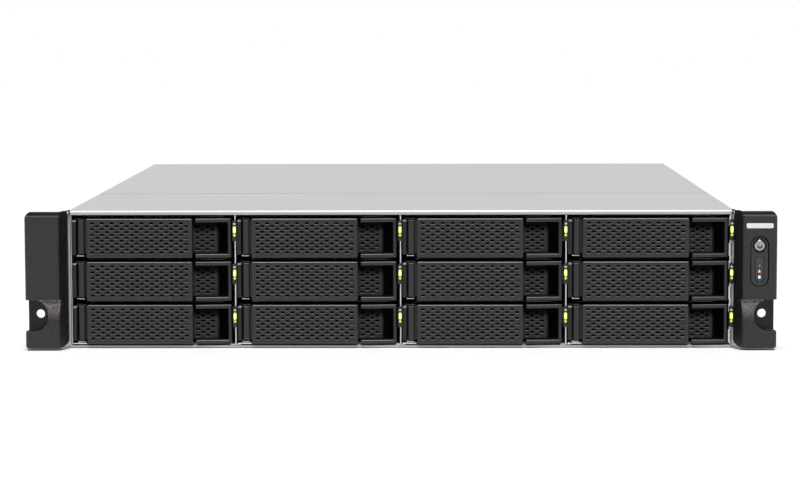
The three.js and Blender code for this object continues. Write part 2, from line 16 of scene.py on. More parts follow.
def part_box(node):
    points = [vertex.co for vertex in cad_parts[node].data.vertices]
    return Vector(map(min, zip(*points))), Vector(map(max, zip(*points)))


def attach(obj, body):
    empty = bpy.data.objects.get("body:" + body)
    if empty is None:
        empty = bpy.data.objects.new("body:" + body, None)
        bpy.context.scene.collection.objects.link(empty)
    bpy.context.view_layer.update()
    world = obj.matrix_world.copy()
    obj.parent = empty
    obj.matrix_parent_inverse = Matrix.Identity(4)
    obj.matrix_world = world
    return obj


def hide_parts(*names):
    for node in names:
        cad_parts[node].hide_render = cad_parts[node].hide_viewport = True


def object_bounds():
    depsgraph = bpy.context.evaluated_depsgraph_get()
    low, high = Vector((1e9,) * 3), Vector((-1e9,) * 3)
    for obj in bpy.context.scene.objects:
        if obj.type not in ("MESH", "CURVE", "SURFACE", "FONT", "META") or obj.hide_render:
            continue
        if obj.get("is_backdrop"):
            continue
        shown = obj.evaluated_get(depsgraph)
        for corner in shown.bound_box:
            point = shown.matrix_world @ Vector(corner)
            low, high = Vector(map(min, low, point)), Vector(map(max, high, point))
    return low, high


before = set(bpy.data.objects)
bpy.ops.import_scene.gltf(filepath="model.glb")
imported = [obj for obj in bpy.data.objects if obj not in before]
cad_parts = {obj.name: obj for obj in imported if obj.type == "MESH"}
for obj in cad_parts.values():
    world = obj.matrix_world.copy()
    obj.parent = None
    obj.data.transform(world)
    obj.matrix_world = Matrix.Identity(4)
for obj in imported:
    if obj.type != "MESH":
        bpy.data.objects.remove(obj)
CAD_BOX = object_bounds()

MM = 0.001
CASE_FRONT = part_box("case_base")[0].y / MM


def extent(node):
    """Limits of a CAD node along x, y and z, in case millimetres."""
    corners = [corner / MM - Vector((0, CASE_FRONT, 0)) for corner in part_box(node)]
    return list(zip(*corners))


def mean(limits):
    return (limits[0] + limits[1]) / 2


# ---- driving dimensions, as in the CAD model

(_, HALF), (_, DEPTH), (_, WALL_TOP) = extent("case_base")
_, (_, SEAM), (LIP_LOW, TOP) = extent("front_top_plate")
SHEET = 1.2
BEND = 2.4
INNER = HALF - SHEET
COLUMNS = 4
ROWS = 3
BAY = 2 * INNER / COLUMNS
BAY_LEFT = [-INNER + column * BAY for column in range(COLUMNS)]
MIDDLE = BAY / 2
ROW_PITCH = 28.0
FIRST_ROW = extent("tray_12_carrier")[2][0]
TRAY_HEIGHT = 25.4
TRAY_LEFT = 1.5
TRAY_RIGHT = 104.3
FACE = -2.0  # front of the levers and of the frames round the finger pockets
LEVER_LEFT = 10.5
PIVOT = (6.9, 3.0)
BARREL = 2.2
POCKET_LEFT = 81.1
POCKET_RIGHT = TRAY_RIGHT - 2.1
POCKET_Z = (2.4, TRAY_HEIGHT - 2.4)
POCKET_DEEP = 16.0
DRIVE_HALF = 101.6 / 2
DRIVE_Y = (18.0, 165.0)
DRIVE_Z = (0.3, 0.3 + 26.1)
SLOT = {"width": 2.45, "height": 1.3, "lip": 0.42, "lip_depth": 0.4, "corner": 0.24, "pitch": 6.4}
EAR_FRONT = extent("left_ear_cover")[1][0]
CONTROL_X = mean(extent("power_button")[0])
FAN_X = (-135.0, 0.0, 135.0)
FAN_Z = 44.4
FAN_MIDDLE = 216.0
BOARD_Z = 8.0
BOARD_TOP = BOARD_Z + 1.6
SUPPLY_BACK = 519.5


# ---- shapes

SHARP_EDGE = 0.5  # angle in radians above which an edge is rounded
CURVED = radians(50)  # angle up to which a surface is shaded as one
SIDES = (-1, 1)
AXIS_MAPS = {
    "x": lambda a, b, along: (along, a, b),
    "y": lambda a, b, along: (a, along, b),
    "z": lambda a, b, along: (a, b, along),
}


def about(middle, half):
    """Limits on both sides of a middle."""
    return (middle - half, middle + half)


def reach(start, length):
    """Limits from a start over a length."""
    return (start, start + length)


def grown(limits, by):
    return (limits[0] - by, limits[1] + by)


def series(start, pitch, count):
    """Places at equal steps."""
    return [start + i * pitch for i in range(count)]


def soften(bm, edge=0.0, steps=2):
    """Turn the faces outwards and round every sharp edge."""
    bmesh.ops.recalc_face_normals(bm, faces=bm.faces)
    if edge:
        sharp = [e for e in bm.edges if e.calc_face_angle(0) > SHARP_EDGE]
        settings = {"segments": steps, "profile": 0.5, "affect": "EDGES", "clamp_overlap": True}
        bmesh.ops.bevel(bm, geom=sharp, offset=edge, **settings)
    return bm


def bridge(bm, first, second):
    """Quads between two closed rings of as many points."""
    for i in range(len(first)):
        j = (i + 1) % len(first)
        bm.faces.new((first[i], first[j], second[j], second[i]))


def loft(bm, rings):
    """Quads from each ring to the next."""
    for first, second in zip(rings, rings[1:]):
        bridge(bm, first, second)


def prism(outline, span, axis, edge=0.25, steps=2):
    """An outline across an axis, drawn out along it."""
    at = AXIS_MAPS[axis]
    bm = bmesh.new()
    ends = [[bm.verts.new(at(a, b, along)) for a, b in outline] for along in span]
    bm.faces.new(ends[0])
    bm.faces.new(ends[1])
    bridge(bm, ends[0], ends[1])
    return soften(bm, edge, steps)


def slab(x, y, z, edge=0.25, steps=2):
    """A block with rounded edges, from its limits along x, y and z."""
    return prism([(x[0], y[0]), (x[1], y[0]), (x[1], y[1]), (x[0], y[1])], z, "z", edge, steps)


def circle(a, b, radius, sides=24, start=0.0):
    angles = [start + i * 2 * pi / sides for i in range(sides)]
    return [(a + radius * cos(angle), b + radius * sin(angle)) for angle in angles]


def hexagons(a, b, pitch, radius):
    """A staggered field of six-sided holes between limits along two directions."""
    step = pitch * sqrt(0.75)
    holes = []
    for k in range(int((b[1] - b[0]) / step) + 1):
        shift = pitch / 2 * (k % 2)
        count = int((a[1] - a[0] - shift) / pitch) + 1
        places = series(a[0] + shift, pitch, count)
        holes += [circle(p, b[0] + k * step, radius, 6, pi / 6) for p in places]
    return holes


def rod(centre, radius, span, axis, edge=0.0, sides=24):
    """A round bar; centre is its place across the axis."""
    return prism(circle(*centre, radius, sides), span, axis, edge)


def lathe(profile, centre, axis, sides=20, face=0.0, out=1):
    """(radius, height) points over a face, turned about an axis; the first and the last lie on it."""
    at = AXIS_MAPS[axis]
    bm = bmesh.new()
    rings = []
    for radius, height in profile:
        ring = circle(*centre, radius, sides) if radius else [centre]
        rings.append([bm.verts.new(at(a, b, face + out * height)) for a, b in ring])
    for first, second in zip(rings, rings[1:]):
        if len(first) == len(second):
            bridge(bm, first, second)
            continue
        tip, ring = sorted((first, second), key=len)
        for i in range(sides):
            bm.faces.new((tip[0], ring[i], ring[(i + 1) % sides]))
    return soften(bm)


def arc(a, b, radius, quarter, steps):
    """Points along a quarter of a circle; quarter 0 starts at the right and turns left."""
    angles = [pi / 2 * (quarter + i / steps) for i in range(steps + 1)]
    return [(a + radius * cos(angle), b + radius * sin(angle)) for angle in angles]


def rounded(a, b, radius, steps=4):
    """A rectangle with round corners, from its limits along the two directions."""
    left, right = a[0] + radius, a[1] - radius
    low, high = b[0] + radius, b[1] - radius
    corners = ((right, high), (left, high), (left, low), (right, low))
    return [point for k, (p, q) in enumerate(corners) for point in arc(p, q, radius, k, steps)]


def capsule(a, b, width, height, steps=10):
    """An upright slot with round ends."""
    return rounded(about(a, width / 2), about(b, height / 2), width / 2 - 0.001, steps)


def inside(point, loop):
    """True where a point lies in a closed outline."""
    hit = False
    for (x0, y0), (x1, y1) in zip(loop, loop[1:] + loop[:1]):
        if (y0 > point[1]) != (y1 > point[1]):
            if point[0] < (x1 - x0) * (point[1] - y0) / (y1 - y0) + x0:
                hit = not hit
    return hit


def fill(outline, holes):
    """Triangles between an outline and its holes, as indices into all their points in turn."""
    loops = [outline] + holes
    points, links, owner = [], [], []
    for k, loop in enumerate(loops):
        start = len(points)
        count = len(loop)
        points += [Vector(p) for p in loop]
        links += [(start + i, start + (i + 1) % count) for i in range(count)]
        owner += [k] * count
    verts, _, faces, origin, _, _ = delaunay_2d_cdt(points, links, [], 0, 1e-7)
    triangles = []
    for face in faces:
        ids = [origin[v][0] for v in face]
        k = owner[ids[0]]
        if all(owner[i] == k for i in ids):
            centre = sum((verts[v] for v in face), Vector((0, 0))) / 3
            if inside(centre, loops[k]) != (k == 0):
                continue
        triangles.append(ids)
    return triangles


def cap(bm, loops, triangles):
    """Lay triangles from fill() over loops of points."""
    flat = [v for loop in loops for v in loop]
    for ids in triangles:
        bm.faces.new([flat[i] for i in ids])


def plate(outline, holes, span, axis, lip=0.0):
    """A flat sheet with holes; lip is the slope round all its edges."""
    at = AXIS_MAPS[axis]
    bm = bmesh.new()
    loops = [outline] + holes
    levels = [[[bm.verts.new(at(a, b, along)) for a, b in loop] for loop in loops] for along in span]
    triangles = fill(outline, holes)
    for level in levels:
        cap(bm, level, triangles)
    for first, second in zip(*levels):
        bridge(bm, first, second)
    return soften(bm, lip, 1)


def slot_ring(x, z, width, lip):
    """Eight points round one ventilation slot, whose lower edge lies lower by its lip."""
    half = width / 2
    cut = SLOT["corner"]
    low = z - SLOT["height"] / 2 - lip
    high = z + SLOT["height"] / 2
    right = [(half - cut, low), (half, low + cut), (half, high - cut), (half - cut, high)]
    return [(x + a, b) for a, b in right] + [(x - a, b) for a, b in right[::-1]]


def slot_field(left, top, pitch, rows, columns):
    """Centres of a staggered field of slots, from its upper left-hand one."""
    centres = []
    for k in range(rows):
        start = left + k % 2 * SLOT["pitch"] / 2
        centres += [(x, top - k * pitch) for x in series(start, SLOT["pitch"], columns)]
    return centres


def slotted_shell(x, z, front, thick, depth, wall, centres, edge=0.82, corner=0.9):
    """A shallow moulded tray, open at the back, with slots through its front."""
    bm = bmesh.new()

    def ring(inset, y):
        radius = max(corner - inset, 0.05)
        outline = rounded((x[0] + inset, x[1] - inset), (z[0] + inset, z[1] - inset), radius, 3)
        return [bm.verts.new((a, y, b)) for a, b in outline]

    def slots(extra, lip, y):
        rings = [slot_ring(a, b, SLOT["width"] + extra, lip) for a, b in centres]
        return [[bm.verts.new((p, y, q)) for p, q in points] for points in rings]

    steps = 3
    rings = []
    for i in range(steps + 1):
        angle = pi / 2 * i / steps
        rings.append(ring(edge * (1 - sin(angle)), front + 0.8 * edge * (1 - cos(angle))))
    rings += [ring(0.0, depth), ring(wall, depth), ring(wall, front + thick)]
    loft(bm, rings)

    mouths = slots(0.1, SLOT["lip"], front)
    throats = slots(0.0, 0.0, front + SLOT["lip_depth"])
    backs = slots(0.0, 0.0, front + thick)
    for rim in zip(mouths, throats, backs):
        loft(bm, rim)
    loops = [[(v.co.x, v.co.z) for v in loop] for loop in [rings[0]] + mouths]
    triangles = fill(loops[0], loops[1:])
    cap(bm, [rings[0]] + mouths, triangles)
    cap(bm, [rings[-1]] + backs, triangles)
    return soften(bm)


def turned(bm, angle, centre):
    """The same solid, turned about an axis along y through a point."""
    turn = Matrix.Rotation(angle, 3, "Y")
    bmesh.ops.rotate(bm, cent=(centre[0], 0, centre[1]), matrix=turn, verts=bm.verts)
    return bm


def wire(path, radius):
    """A round wire along a smooth run of points."""
    curve = bpy.data.curves.new("run", "CURVE")
    curve.dimensions = "3D"
    curve.bevel_depth = radius
    curve.bevel_resolution = 2
    curve.use_fill_caps = True
    spline = curve.splines.new("BEZIER")
    spline.bezier_points.add(len(path) - 1)
    for point, place_at in zip(spline.bezier_points, path):
        point.co = place_at
        point.handle_left_type = point.handle_right_type = "AUTO"
    spline.resolution_u = 8
    holder = bpy.data.objects.new("run", curve)
    bm = bmesh.new()
    mesh = bpy.data.meshes.new_from_object(holder)
    bm.from_mesh(mesh)
    bpy.data.objects.remove(holder)
    bpy.data.curves.remove(curve)
    bpy.data.meshes.remove(mesh)
    return soften(bm)


# ---- pieces


def mesh_of(name, solids, look):
    """One smooth-shaded mesh in metres from solids in case millimetres, which are used up."""
    whole = bmesh.new()
    for solid in solids:
        part = bpy.data.meshes.new("part")
        solid.to_mesh(part)
        solid.free()
        whole.from_mesh(part)
        bpy.data.meshes.remove(part)
    for v in whole.verts:
        v.co = (v.co + Vector((0, CASE_FRONT, 0))) * MM
    for e in whole.edges:
        e.smooth = e.calc_face_angle(0) < CURVED
    for f in whole.faces:
        f.smooth = True
    mesh = bpy.data.meshes.new(name)
    whole.to_mesh(mesh)
    whole.free()
    mesh.materials.append(LOOKS[look])
    return mesh


def add(name, data):
    """A new object in the scene."""
    obj = bpy.data.objects.new(name, data)
    bpy.context.scene.collection.objects.link(obj)
    return obj


def place(name, mesh, slot, replaced=(), body="case", at=(0, 0, 0)):
    """An object of a mesh that rides on a body; at moves it, in millimetres."""
    obj = add(name, mesh)
    obj.location = Vector(at) * MM
    obj.modifiers.new("normals", "WEIGHTED_NORMAL").keep_sharp = True
    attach(obj, body)
    if replaced:
        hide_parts(*replaced)
    return obj


def piece(name, solids, look, *replaced, body="case", slot=None):
    """A new piece that takes a look, moves with a body and stands for CAD nodes."""
    return place(name, mesh_of(name, solids, look), slot or SLOT_OF[look], replaced, body)


def repaint(mesh, looks, choose):
    """Add looks to a mesh; choose() gives the number of one from a face's normal, centre and size."""
    for look in looks:
        mesh.materials.append(LOOKS[look])
    for face in mesh.polygons:
        face.material_index = choose(face.normal, face.center / MM, face.area / (MM * MM))


# ---- looks


class Finish:
    """A procedural material: its Principled shader and short calls that add nodes to it."""

    def __init__(self, name, roughness, metallic=0.0, specular=0.5):
        self.material = bpy.data.materials.new(name)
        self.material.use_nodes = True
        self.tree = self.material.node_tree
        self.shader = self.tree.nodes["Principled BSDF"]
        self.set("Roughness", roughness)
        self.set("Metallic", metallic)
        self.set("Specular IOR Level", specular)
        self.places = self.node("TexCoord")
        self.coords = self.places["Object"]

    def feed(self, socket, value):
        """Set a socket to a value, or link it to another node's output."""
        if isinstance(value, bpy.types.NodeSocket):
            self.tree.links.new(value, socket)
        else:
            socket.default_value = value

    def set(self, name, value):
        self.feed(self.shader.inputs[name], value)

    def node(self, kind, inputs=(), **settings):
        """The outputs of a new node."""
        made = self.tree.nodes.new("ShaderNode" + kind)
        for key, value in settings.items():
            setattr(made, key, value)
        for key, value in dict(inputs).items():
            self.feed(made.inputs[key], value)
        return made.outputs

    def noise(self, scale, detail=2.0, coords=None):
        inputs = {"Scale": scale, "Detail": detail, "Vector": coords or self.coords}
        return self.node("TexNoise", inputs)["Fac"]

    def stretched(self, scale):
        """Object coordinates scaled apart along x, y and z."""
        return self.node("Mapping", {"Scale": scale, "Vector": self.coords})["Vector"]

    def ramp(self, source, stops):
        """Colours at places along a value from 0 to 1."""
        made = self.tree.nodes.new("ShaderNodeValToRGB")
        for element, (position, colour) in zip(made.color_ramp.elements, stops):
            element.position = position
            element.color = (*colour, 1.0)
        self.feed(made.inputs["Fac"], source)
        return made.outputs["Color"]

    def mix(self, factor, first, second, blend="MIX"):
        inputs = {"Factor": factor, "A": first, "B": second}
        return self.node("Mix", inputs, data_type="RGBA", blend_type=blend)["Result"]

    def mapped(self, source, low, high, **limits):
        inputs = {"Value": source, "To Min": low, "To Max": high, **limits}
        return self.node("MapRange", inputs)["Result"]

    def bump(self, source, distance, strength=1.0):
        """Relief of a height, in millimetres, that follows a pattern."""
        inputs = {"Strength": strength, "Distance": distance * MM, "Height": source}
        self.set("Normal", self.node("Bump", inputs)["Normal"])

    def graded(self, low, high, factor):
        """Paint light or shade by height: take the colour to a multiple of itself between two heights, and
        the shine if it gets darker.
        """
        height = self.node("SeparateXYZ", {"Vector": self.coords})["Z"]
        change = self.mapped(height, 1.0, factor, **{"From Min": low * MM, "From Max": high * MM})
        plain = self.shader.inputs["Base Color"].links[0].from_socket
        self.set("Base Color", self.mix(1.0, plain, change, "MULTIPLY"))
        if factor < 1:
            shine = {0: change, 1: self.shader.inputs["Specular IOR Level"].default_value}
            dimmed = self.node("Math", shine, operation="MULTIPLY", use_clamp=True)
            self.set("Specular IOR Level", dimmed["Value"])


def shade(colour, factor):
    return tuple(min(1.0, c * factor) for c in colour)


def tones(colour, dark, light, low=0.3, high=0.7):
    """Stops of a ramp between two shades of a colour."""
    return [(low, shade(colour, dark)), (high, shade(colour, light))]


def moulded(name, colour, roughness, grain, relief, spread=0.25, specular=0.5, grade=None):
    """Moulded plastic: a fine grain, and clouds of slightly different tone and shine; a grade adds painted
    light or shade that changes with height.
    """
    finish = Finish(name, roughness, specular=specular)
    fine = finish.noise(grain, 3.0)
    clouds = finish.noise(38.0, 4.0)
    tone = finish.ramp(fine, tones(colour, 1 - spread, 1 + spread))
    worn = finish.ramp(clouds, tones((1.0, 1.0, 1.0), 0.88, 1.0, 0.35, 0.65))
    finish.set("Base Color", finish.mix(1.0, tone, worn, "MULTIPLY"))
    finish.set("Roughness", finish.mapped(clouds, roughness - 0.08, roughness + 0.08))
    finish.bump(fine, relief)
    if grade:
        finish.graded(*grade)
    return finish.material


def coated_sheet(name, colour, roughness=0.52):
    """Powder-coated steel: fine orange peel and faint handling marks."""
    finish = Finish(name, roughness, specular=0.35)
    clouds = finish.noise(14.0, 5.0)
    finish.set("Base Color", finish.ramp(clouds, tones(colour, 0.985, 1.01)))
    finish.set("Roughness", finish.mapped(clouds, roughness - 0.03, roughness + 0.03))
    finish.bump(finish.noise(900.0), 0.012)
    return finish.material


def plated_sheet(name, colour, roughness=0.32):
    """Zinc-plated sheet steel: soft crystal flakes and a rolling direction."""
    finish = Finish(name, roughness, metallic=0.95)
    flakes = finish.node("TexVoronoi", {"Scale": 160.0, "Vector": finish.coords})["Color"]
    rolled = finish.noise(60.0, 3.0, finish.stretched((1.0, 14.0, 14.0)))
    grey = finish.ramp(flakes, tones(colour, 0.9, 1.06, 0.0, 1.0))
    finish.set("Base Color", finish.mix(rolled, grey, finish.ramp(rolled, tones(colour, 0.92, 1.0))))
    finish.set("Roughness", finish.mapped(rolled, roughness - 0.1, roughness + 0.12))
    finish.bump(rolled, 0.008)
    return finish.material


def machined(name, colour, roughness=0.25, scale=700.0):
    """Turned or milled metal with fine tool lines."""
    finish = Finish(name, roughness, metallic=1.0)
    lines = finish.noise(scale, 1.0, finish.stretched((1.0, 0.05, 1.0)))
    finish.set("Base Color", finish.ramp(lines, tones(colour, 0.85, 1.0)))
    finish.set("Roughness", finish.mapped(lines, roughness - 0.08, roughness + 0.1))
    return finish.material


def circuit(name, colour):
    """Solder mask over a mesh of traces."""
    finish = Finish(name, 0.35)
    inputs = {"Vector": finish.coords, "Scale": 260.0, "Mortar Size": 0.018}
    for key, factor in (("Color1", 0.9), ("Color2", 1.15), ("Mortar", 2.0)):
        inputs[key] = (*shade(colour, factor), 1.0)
    bricks = finish.node("TexBrick", inputs, offset=0.37, squash=0.6)
    clouds = finish.noise(90.0, 3.0)
    tint = finish.ramp(clouds, tones(colour, 0.75, 1.1))
    finish.set("Base Color", finish.mix(clouds, bricks["Color"], tint))
    finish.set("Roughness", finish.mapped(clouds, 0.28, 0.5))
    finish.bump(bricks["Fac"], 0.03, 0.5)
    return finish.material


def lit(name, core, rim, strength):
    """A glowing light pipe, hottest in the middle of its face."""
    finish = Finish(name, 0.3)
    spot = {"Vector": finish.places["Generated"], "Location": (-0.5, 0.0, -0.5)}
    centred = {0: finish.node("Mapping", spot)["Vector"], 1: (2.0, 0.0, 2.0)}
    flat = finish.node("VectorMath", centred, operation="MULTIPLY")["Vector"]
    far = finish.node("VectorMath", {0: flat}, operation="LENGTH")["Value"]
    finish.set("Emission Color", finish.ramp(far, [(0.35, core), (0.95, rim)]))
    finish.set("Emission Strength", strength)
    finish.set("Base Color", finish.ramp(far, tones(rim, 0.6, 0.4, 0.0, 1.0)))
    return finish.material


# Rows hold what each function takes after the name. Grain is per metre, relief and grades are in millimetres.
MATERIALS = {
    moulded: {
        "ear_grain": ((0.0138, 0.012, 0.0138), 0.42, 900.0, 0.22, 0.8),
        # The same ear plastic made up to 13 times lighter toward the block above: a painted highlight.
        "ear_ledge": ((0.0138, 0.012, 0.0138), 0.42, 900.0, 0.22, 0.8, 0.5, (19.0, 31.5, 13.0)),
        "ear_smooth": ((0.005, 0.005, 0.005), 0.3, 1800.0, 0.006, 0.15, 0.3),
        "tray_dark": ((0.015, 0.013, 0.0153), 0.36, 2600.0, 0.012, 0.12),
        # Lighter copies of the tray plastic for edges and slot lips: painted highlights.
        "tray_edge": ((0.13, 0.122, 0.124), 0.3, 2600.0, 0.01, 0.15),
        "tray_lip": ((0.078, 0.073, 0.076), 0.36, 2600.0, 0.01, 0.15),
        # The carrier plastic is darker than the lever's: partly its own tone, partly painted shade that keeps
        # the gaps between rows black.
        "tray_post": ((0.0085, 0.0075, 0.0088), 0.45, 2600.0, 0.012, 0.12, 0.4),
        # Near-black plastic that paints shade in pockets, behind gaps, on slot walls and inside the supplies.
        "tray_shade": ((0.003, 0.003, 0.003), 0.8, 2200.0, 0.01, 0.2, 0.1),
        # Tongue plastic darker than the lever's, down to 0.12 of itself toward the top: painted shade under
        # the pocket frame.
        "release_dark": ((0.0118, 0.0105, 0.0122), 0.45, 2600.0, 0.012, 0.12, 0.4, (16.0, 20.0, 0.12)),
        "socket_black": ((0.01, 0.01, 0.011), 0.4, 2200.0, 0.01, 0.2),
        "fan_black": ((0.014, 0.014, 0.015), 0.42, 1800.0, 0.015, 0.2),
        "gloss_black": ((0.012, 0.012, 0.014), 0.16, 1200.0, 0.002, 0.1),
        "smoked_window": ((0.024, 0.024, 0.027), 0.12, 900.0, 0.001, 0.1),
        "badge_silver": ((0.72, 0.72, 0.74), 0.35, 2000.0, 0.008, 0.05),
        "cap_grey": ((0.3, 0.3, 0.32), 0.4, 2000.0, 0.008, 0.05),
        "green_tab": ((0.025, 0.2, 0.09), 0.42, 1800.0, 0.012, 0.15),
        "chip_grey": ((0.022, 0.022, 0.024), 0.4, 2400.0, 0.004, 0.1),
    },
    coated_sheet: {
        "cover_grey": ((0.515, 0.503, 0.518),),
        # Darker bluish and lighter copies of the cover steel: painted shade on faces that look forward, a
        # painted highlight along the fold.
        "lip_grey": ((0.385, 0.394, 0.418),),
        # A dark copy of the cover steel: painted shade in the seam at the cover's front edge.
        "seam_grey": ((0.075, 0.075, 0.08),),
        "bend_bright": ((0.86, 0.86, 0.88), 0.4),
    },
    plated_sheet: {"zinc_sheet": ((0.66, 0.68, 0.7),)},
    machined: {
        "button_chrome": ((0.4, 0.4, 0.43), 0.18, 300.0),
        "screw_steel": ((0.55, 0.56, 0.58), 0.3),
        "heatsink_aluminium": ((0.68, 0.69, 0.71), 0.34),
        "drive_cast": ((0.34, 0.35, 0.37), 0.5, 900.0),
        "contact_gold": ((0.86, 0.62, 0.24), 0.22),
    },
    circuit: {"board_green": ((0.01, 0.055, 0.03),)},
    lit: {
        "light_on": ((1.0, 1.0, 0.62), (0.52, 0.56, 0.02), 1.5),
        "light_dim": ((0.8, 0.82, 0.16), (0.34, 0.38, 0.01), 1.0),
        "mark_green": ((0.45, 0.85, 0.15), (0.1, 0.35, 0.03), 1.0),
        "mark_amber": ((1.0, 0.62, 0.25), (0.65, 0.22, 0.04), 1.3),
        # A moulded pin that glows: painted light.
        "pin_white": ((0.72, 0.66, 0.66), (0.6, 0.54, 0.53), 0.5),
        "mark_white": ((0.92, 0.95, 1.0), (0.45, 0.52, 0.85), 1.5),
    },
}
LOOKS = {name: make(name, *row) for make, rows in MATERIALS.items() for name, row in rows.items()}
SLOT_LOOKS = {
    "button_chrome": "button_chrome",
    "case_steel": "cover_grey",
    "circuit_board": "board_green",
    "fan_plastic": "fan_black",
    "gloss_inlay": "socket_black gloss_black chip_grey",
    "heatsink_aluminium": "heatsink_aluminium",
    "release_plastic": "green_tab",
    "tray_metal": "drive_cast",
    "tray_plastic": "tray_dark release_dark tray_shade tray_post cap_grey",
    "window_plastic": "smoked_window badge_silver light_on light_dim pin_white mark_green"
    " mark_amber mark_white",
    "zinc_steel": "zinc_sheet screw_steel contact_gold",
}
SLOT_OF = {look: slot for slot, looks in SLOT_LOOKS.items() for look in looks.split()}


# ---- trays, in bay coordinates: x runs from the bay's left boundary and z from the tray's underside


def lever():
    """Panel, hinge barrel with its arm, and the catch at the free end."""
    centres = slot_field(LEVER_LEFT + 4.0, TRAY_HEIGHT - 2.85, 1.9, 11, 10)
    yield slotted_shell((LEVER_LEFT, 79.3), (0, TRAY_HEIGHT), FACE, 1.4, 4.0, 1.4, centres)
    x, y = PIVOT
    yield prism(rounded(about(x, BARREL), about(y, BARREL), 0.9, 5), (2.3, 24.3), "z", 0.3)
    yield slab((x, LEVER_LEFT + 1.4), (3.3, 4.5), (2.4, 24.2), 0.2)
    yield prism([(73.6, -0.8), (76.1, -0.8), (76.1, 7.2), (75.4, 8.0), (73.6, 8.0)], (9.5, 15.9), "z", 0.2)


def tongue(left=76.5, right=96.2, front=4.5, thick=1.2, curl=2.3):
    """Slotted plate whose right-hand end curls back as a finger grip."""
    z = (POCKET_Z[0] + 0.3, POCKET_Z[1] - 0.3)
    bend = (right - curl, front + curl)
    back = front + curl + 2.0
    centres = slot_field(POCKET_LEFT + 1.0, 20.0, 1.85, 9, 2)
    yield slotted_shell((left, bend[0] + 0.6), z, front, 1.0, front + 1.3, 0.8, centres, 0.2, 0.3)
    outline = arc(*bend, curl, -1, 8) + [(right, back), (right - thick, back)]
    yield prism(outline + arc(*bend, curl - thick, -1, 8)[::-1], z, "z", 0.12, 1)


def pocket_frame():
    """U-shaped frame round the finger pocket, slanted back to the right."""
    low, high = POCKET_Z
    outline = [(POCKET_LEFT, 0), (TRAY_RIGHT, 0), (TRAY_RIGHT, TRAY_HEIGHT), (POCKET_LEFT, TRAY_HEIGHT)]
    outline += [(POCKET_LEFT, high), (POCKET_RIGHT, high), (POCKET_RIGHT, low), (POCKET_LEFT, low)]
    bars = prism(outline, (FACE, POCKET_DEEP), "y", 0.55, 3)
    slant = 2.3 / (TRAY_RIGHT - POCKET_LEFT)
    for v in bars.verts:
        if v.co.y < 2.0:
            v.co.y += (v.co.x - POCKET_LEFT) * slant
    return [bars]


def pocket_walls():
    """Near-black walls behind the finger pocket and behind the gaps between neighbouring trays, which paint
    the shade there.
    """
    low = POCKET_Z[0]
    back = POCKET_DEEP + 0.1
    left = POCKET_LEFT - 8
    yield slab((left, TRAY_RIGHT - 0.2), reach(POCKET_DEEP, 1.2), (0.4, 25.0), 0.1, 1)
    yield slab((POCKET_RIGHT - 0.5, POCKET_RIGHT + 0.05), (1.4, back), POCKET_Z, 0.1, 1)
    yield slab((left, POCKET_RIGHT), (6.5, back), (low - 0.1, low + 0.2), 0.05, 1)
    for z in ((0, 1.4), (24, TRAY_HEIGHT)):
        yield slab((10, POCKET_LEFT + 1), (7, 17.6), z, 0.2, 1)
    yield slab((10, 74), (15.6, 17.6), (1.2, 24.2), 0.1, 1)


def carrier():
    """Hinge post, side strip and sill at the front, and the two side rails."""
    start, end = DRIVE_Y
    yield slab((TRAY_LEFT, 9.8), (10, start - 0.4), (0.9, TRAY_HEIGHT), 0.3)
    yield slab((1.2, 3.8), (-0.5, start - 0.4), (2.1, 23.5), 0.25)
    yield slab((4.3, 9.5), (2.0, 11), (24.6, TRAY_HEIGHT), 0.15, 1)
    rail = rounded((start - 2, end + 3), (4, 20), 1.5)
    windows = [rounded(reach(y, 22), (8, 16), 1.6) for y in series(34, 32, 4)]
    for s in SIDES:
        faces = [MIDDLE + s * (DRIVE_HALF + gap) for gap in (0.08, 0.7)]
        yield plate(rail, windows, sorted(faces), "x", 0.12)


def strip_cap():
    """Pale cap on the top end of the strip beside the hinge."""
    yield slab((1.5, 3.75), (-0.75, 9), (23.5, 24.3), 0.12, 1)


def hinge_lug():
    """Bright steel lug below the hinge."""
    yield slab((4.0, 8.8), (2.4, 11), (0.8, 1.5), 0.15, 1)


def drive_body():
    """Cast body of a 3.5 inch drive with a stepped foot."""
    low, high = DRIVE_Z
    yield slab(about(MIDDLE, DRIVE_HALF), DRIVE_Y, (low + 2.2, high - 2.0), 0.8, 3)
    yield slab(about(MIDDLE, DRIVE_HALF - 3), DRIVE_Y, (low + 1.6, low + 3), 0.4)


def drive_lid():
    """Pressed lid with a raised round over the spindle, and six screws."""
    y = DRIVE_Y[0]
    top = DRIVE_Z[1]
    yield prism(rounded(about(MIDDLE, 49), (y + 2, y + 145), 8, 5), (top - 2.4, top - 0.7), "z", 0.5)
    yield rod((MIDDLE, y + 52), 38, (top - 0.9, top - 0.1), "z", 0.35, 40)
    head = [(0, -0.1), (2.4, -0.1), (2.8, -0.9), (0, -0.9)]
    for x in (MIDDLE - 44, MIDDLE + 44):
        for along in (8, 74, 138):
            yield lathe(head, (x, y + along), "z", 12, top)


def drive_board():
    """Circuit board under the drive, with its chips and the connector at the back."""
    y, end = DRIVE_Y
    z = DRIVE_Z[0]
    yield plate(rounded(about(MIDDLE, 47), (y + 44, y + 145), 3), [], (z + 0.7, z + 1.7), "z")
    for a, width, b, length in ((-12, 16, 70, 16), (14, 12, 96, 12), (-36, 8, 104, 10)):
        yield slab(reach(MIDDLE + a, width), reach(y + b, length), (z, z + 0.8), 0.1, 1)
    yield slab((8.4, 49.6), (end - 6, end), (3.6, 9.4), 0.3)


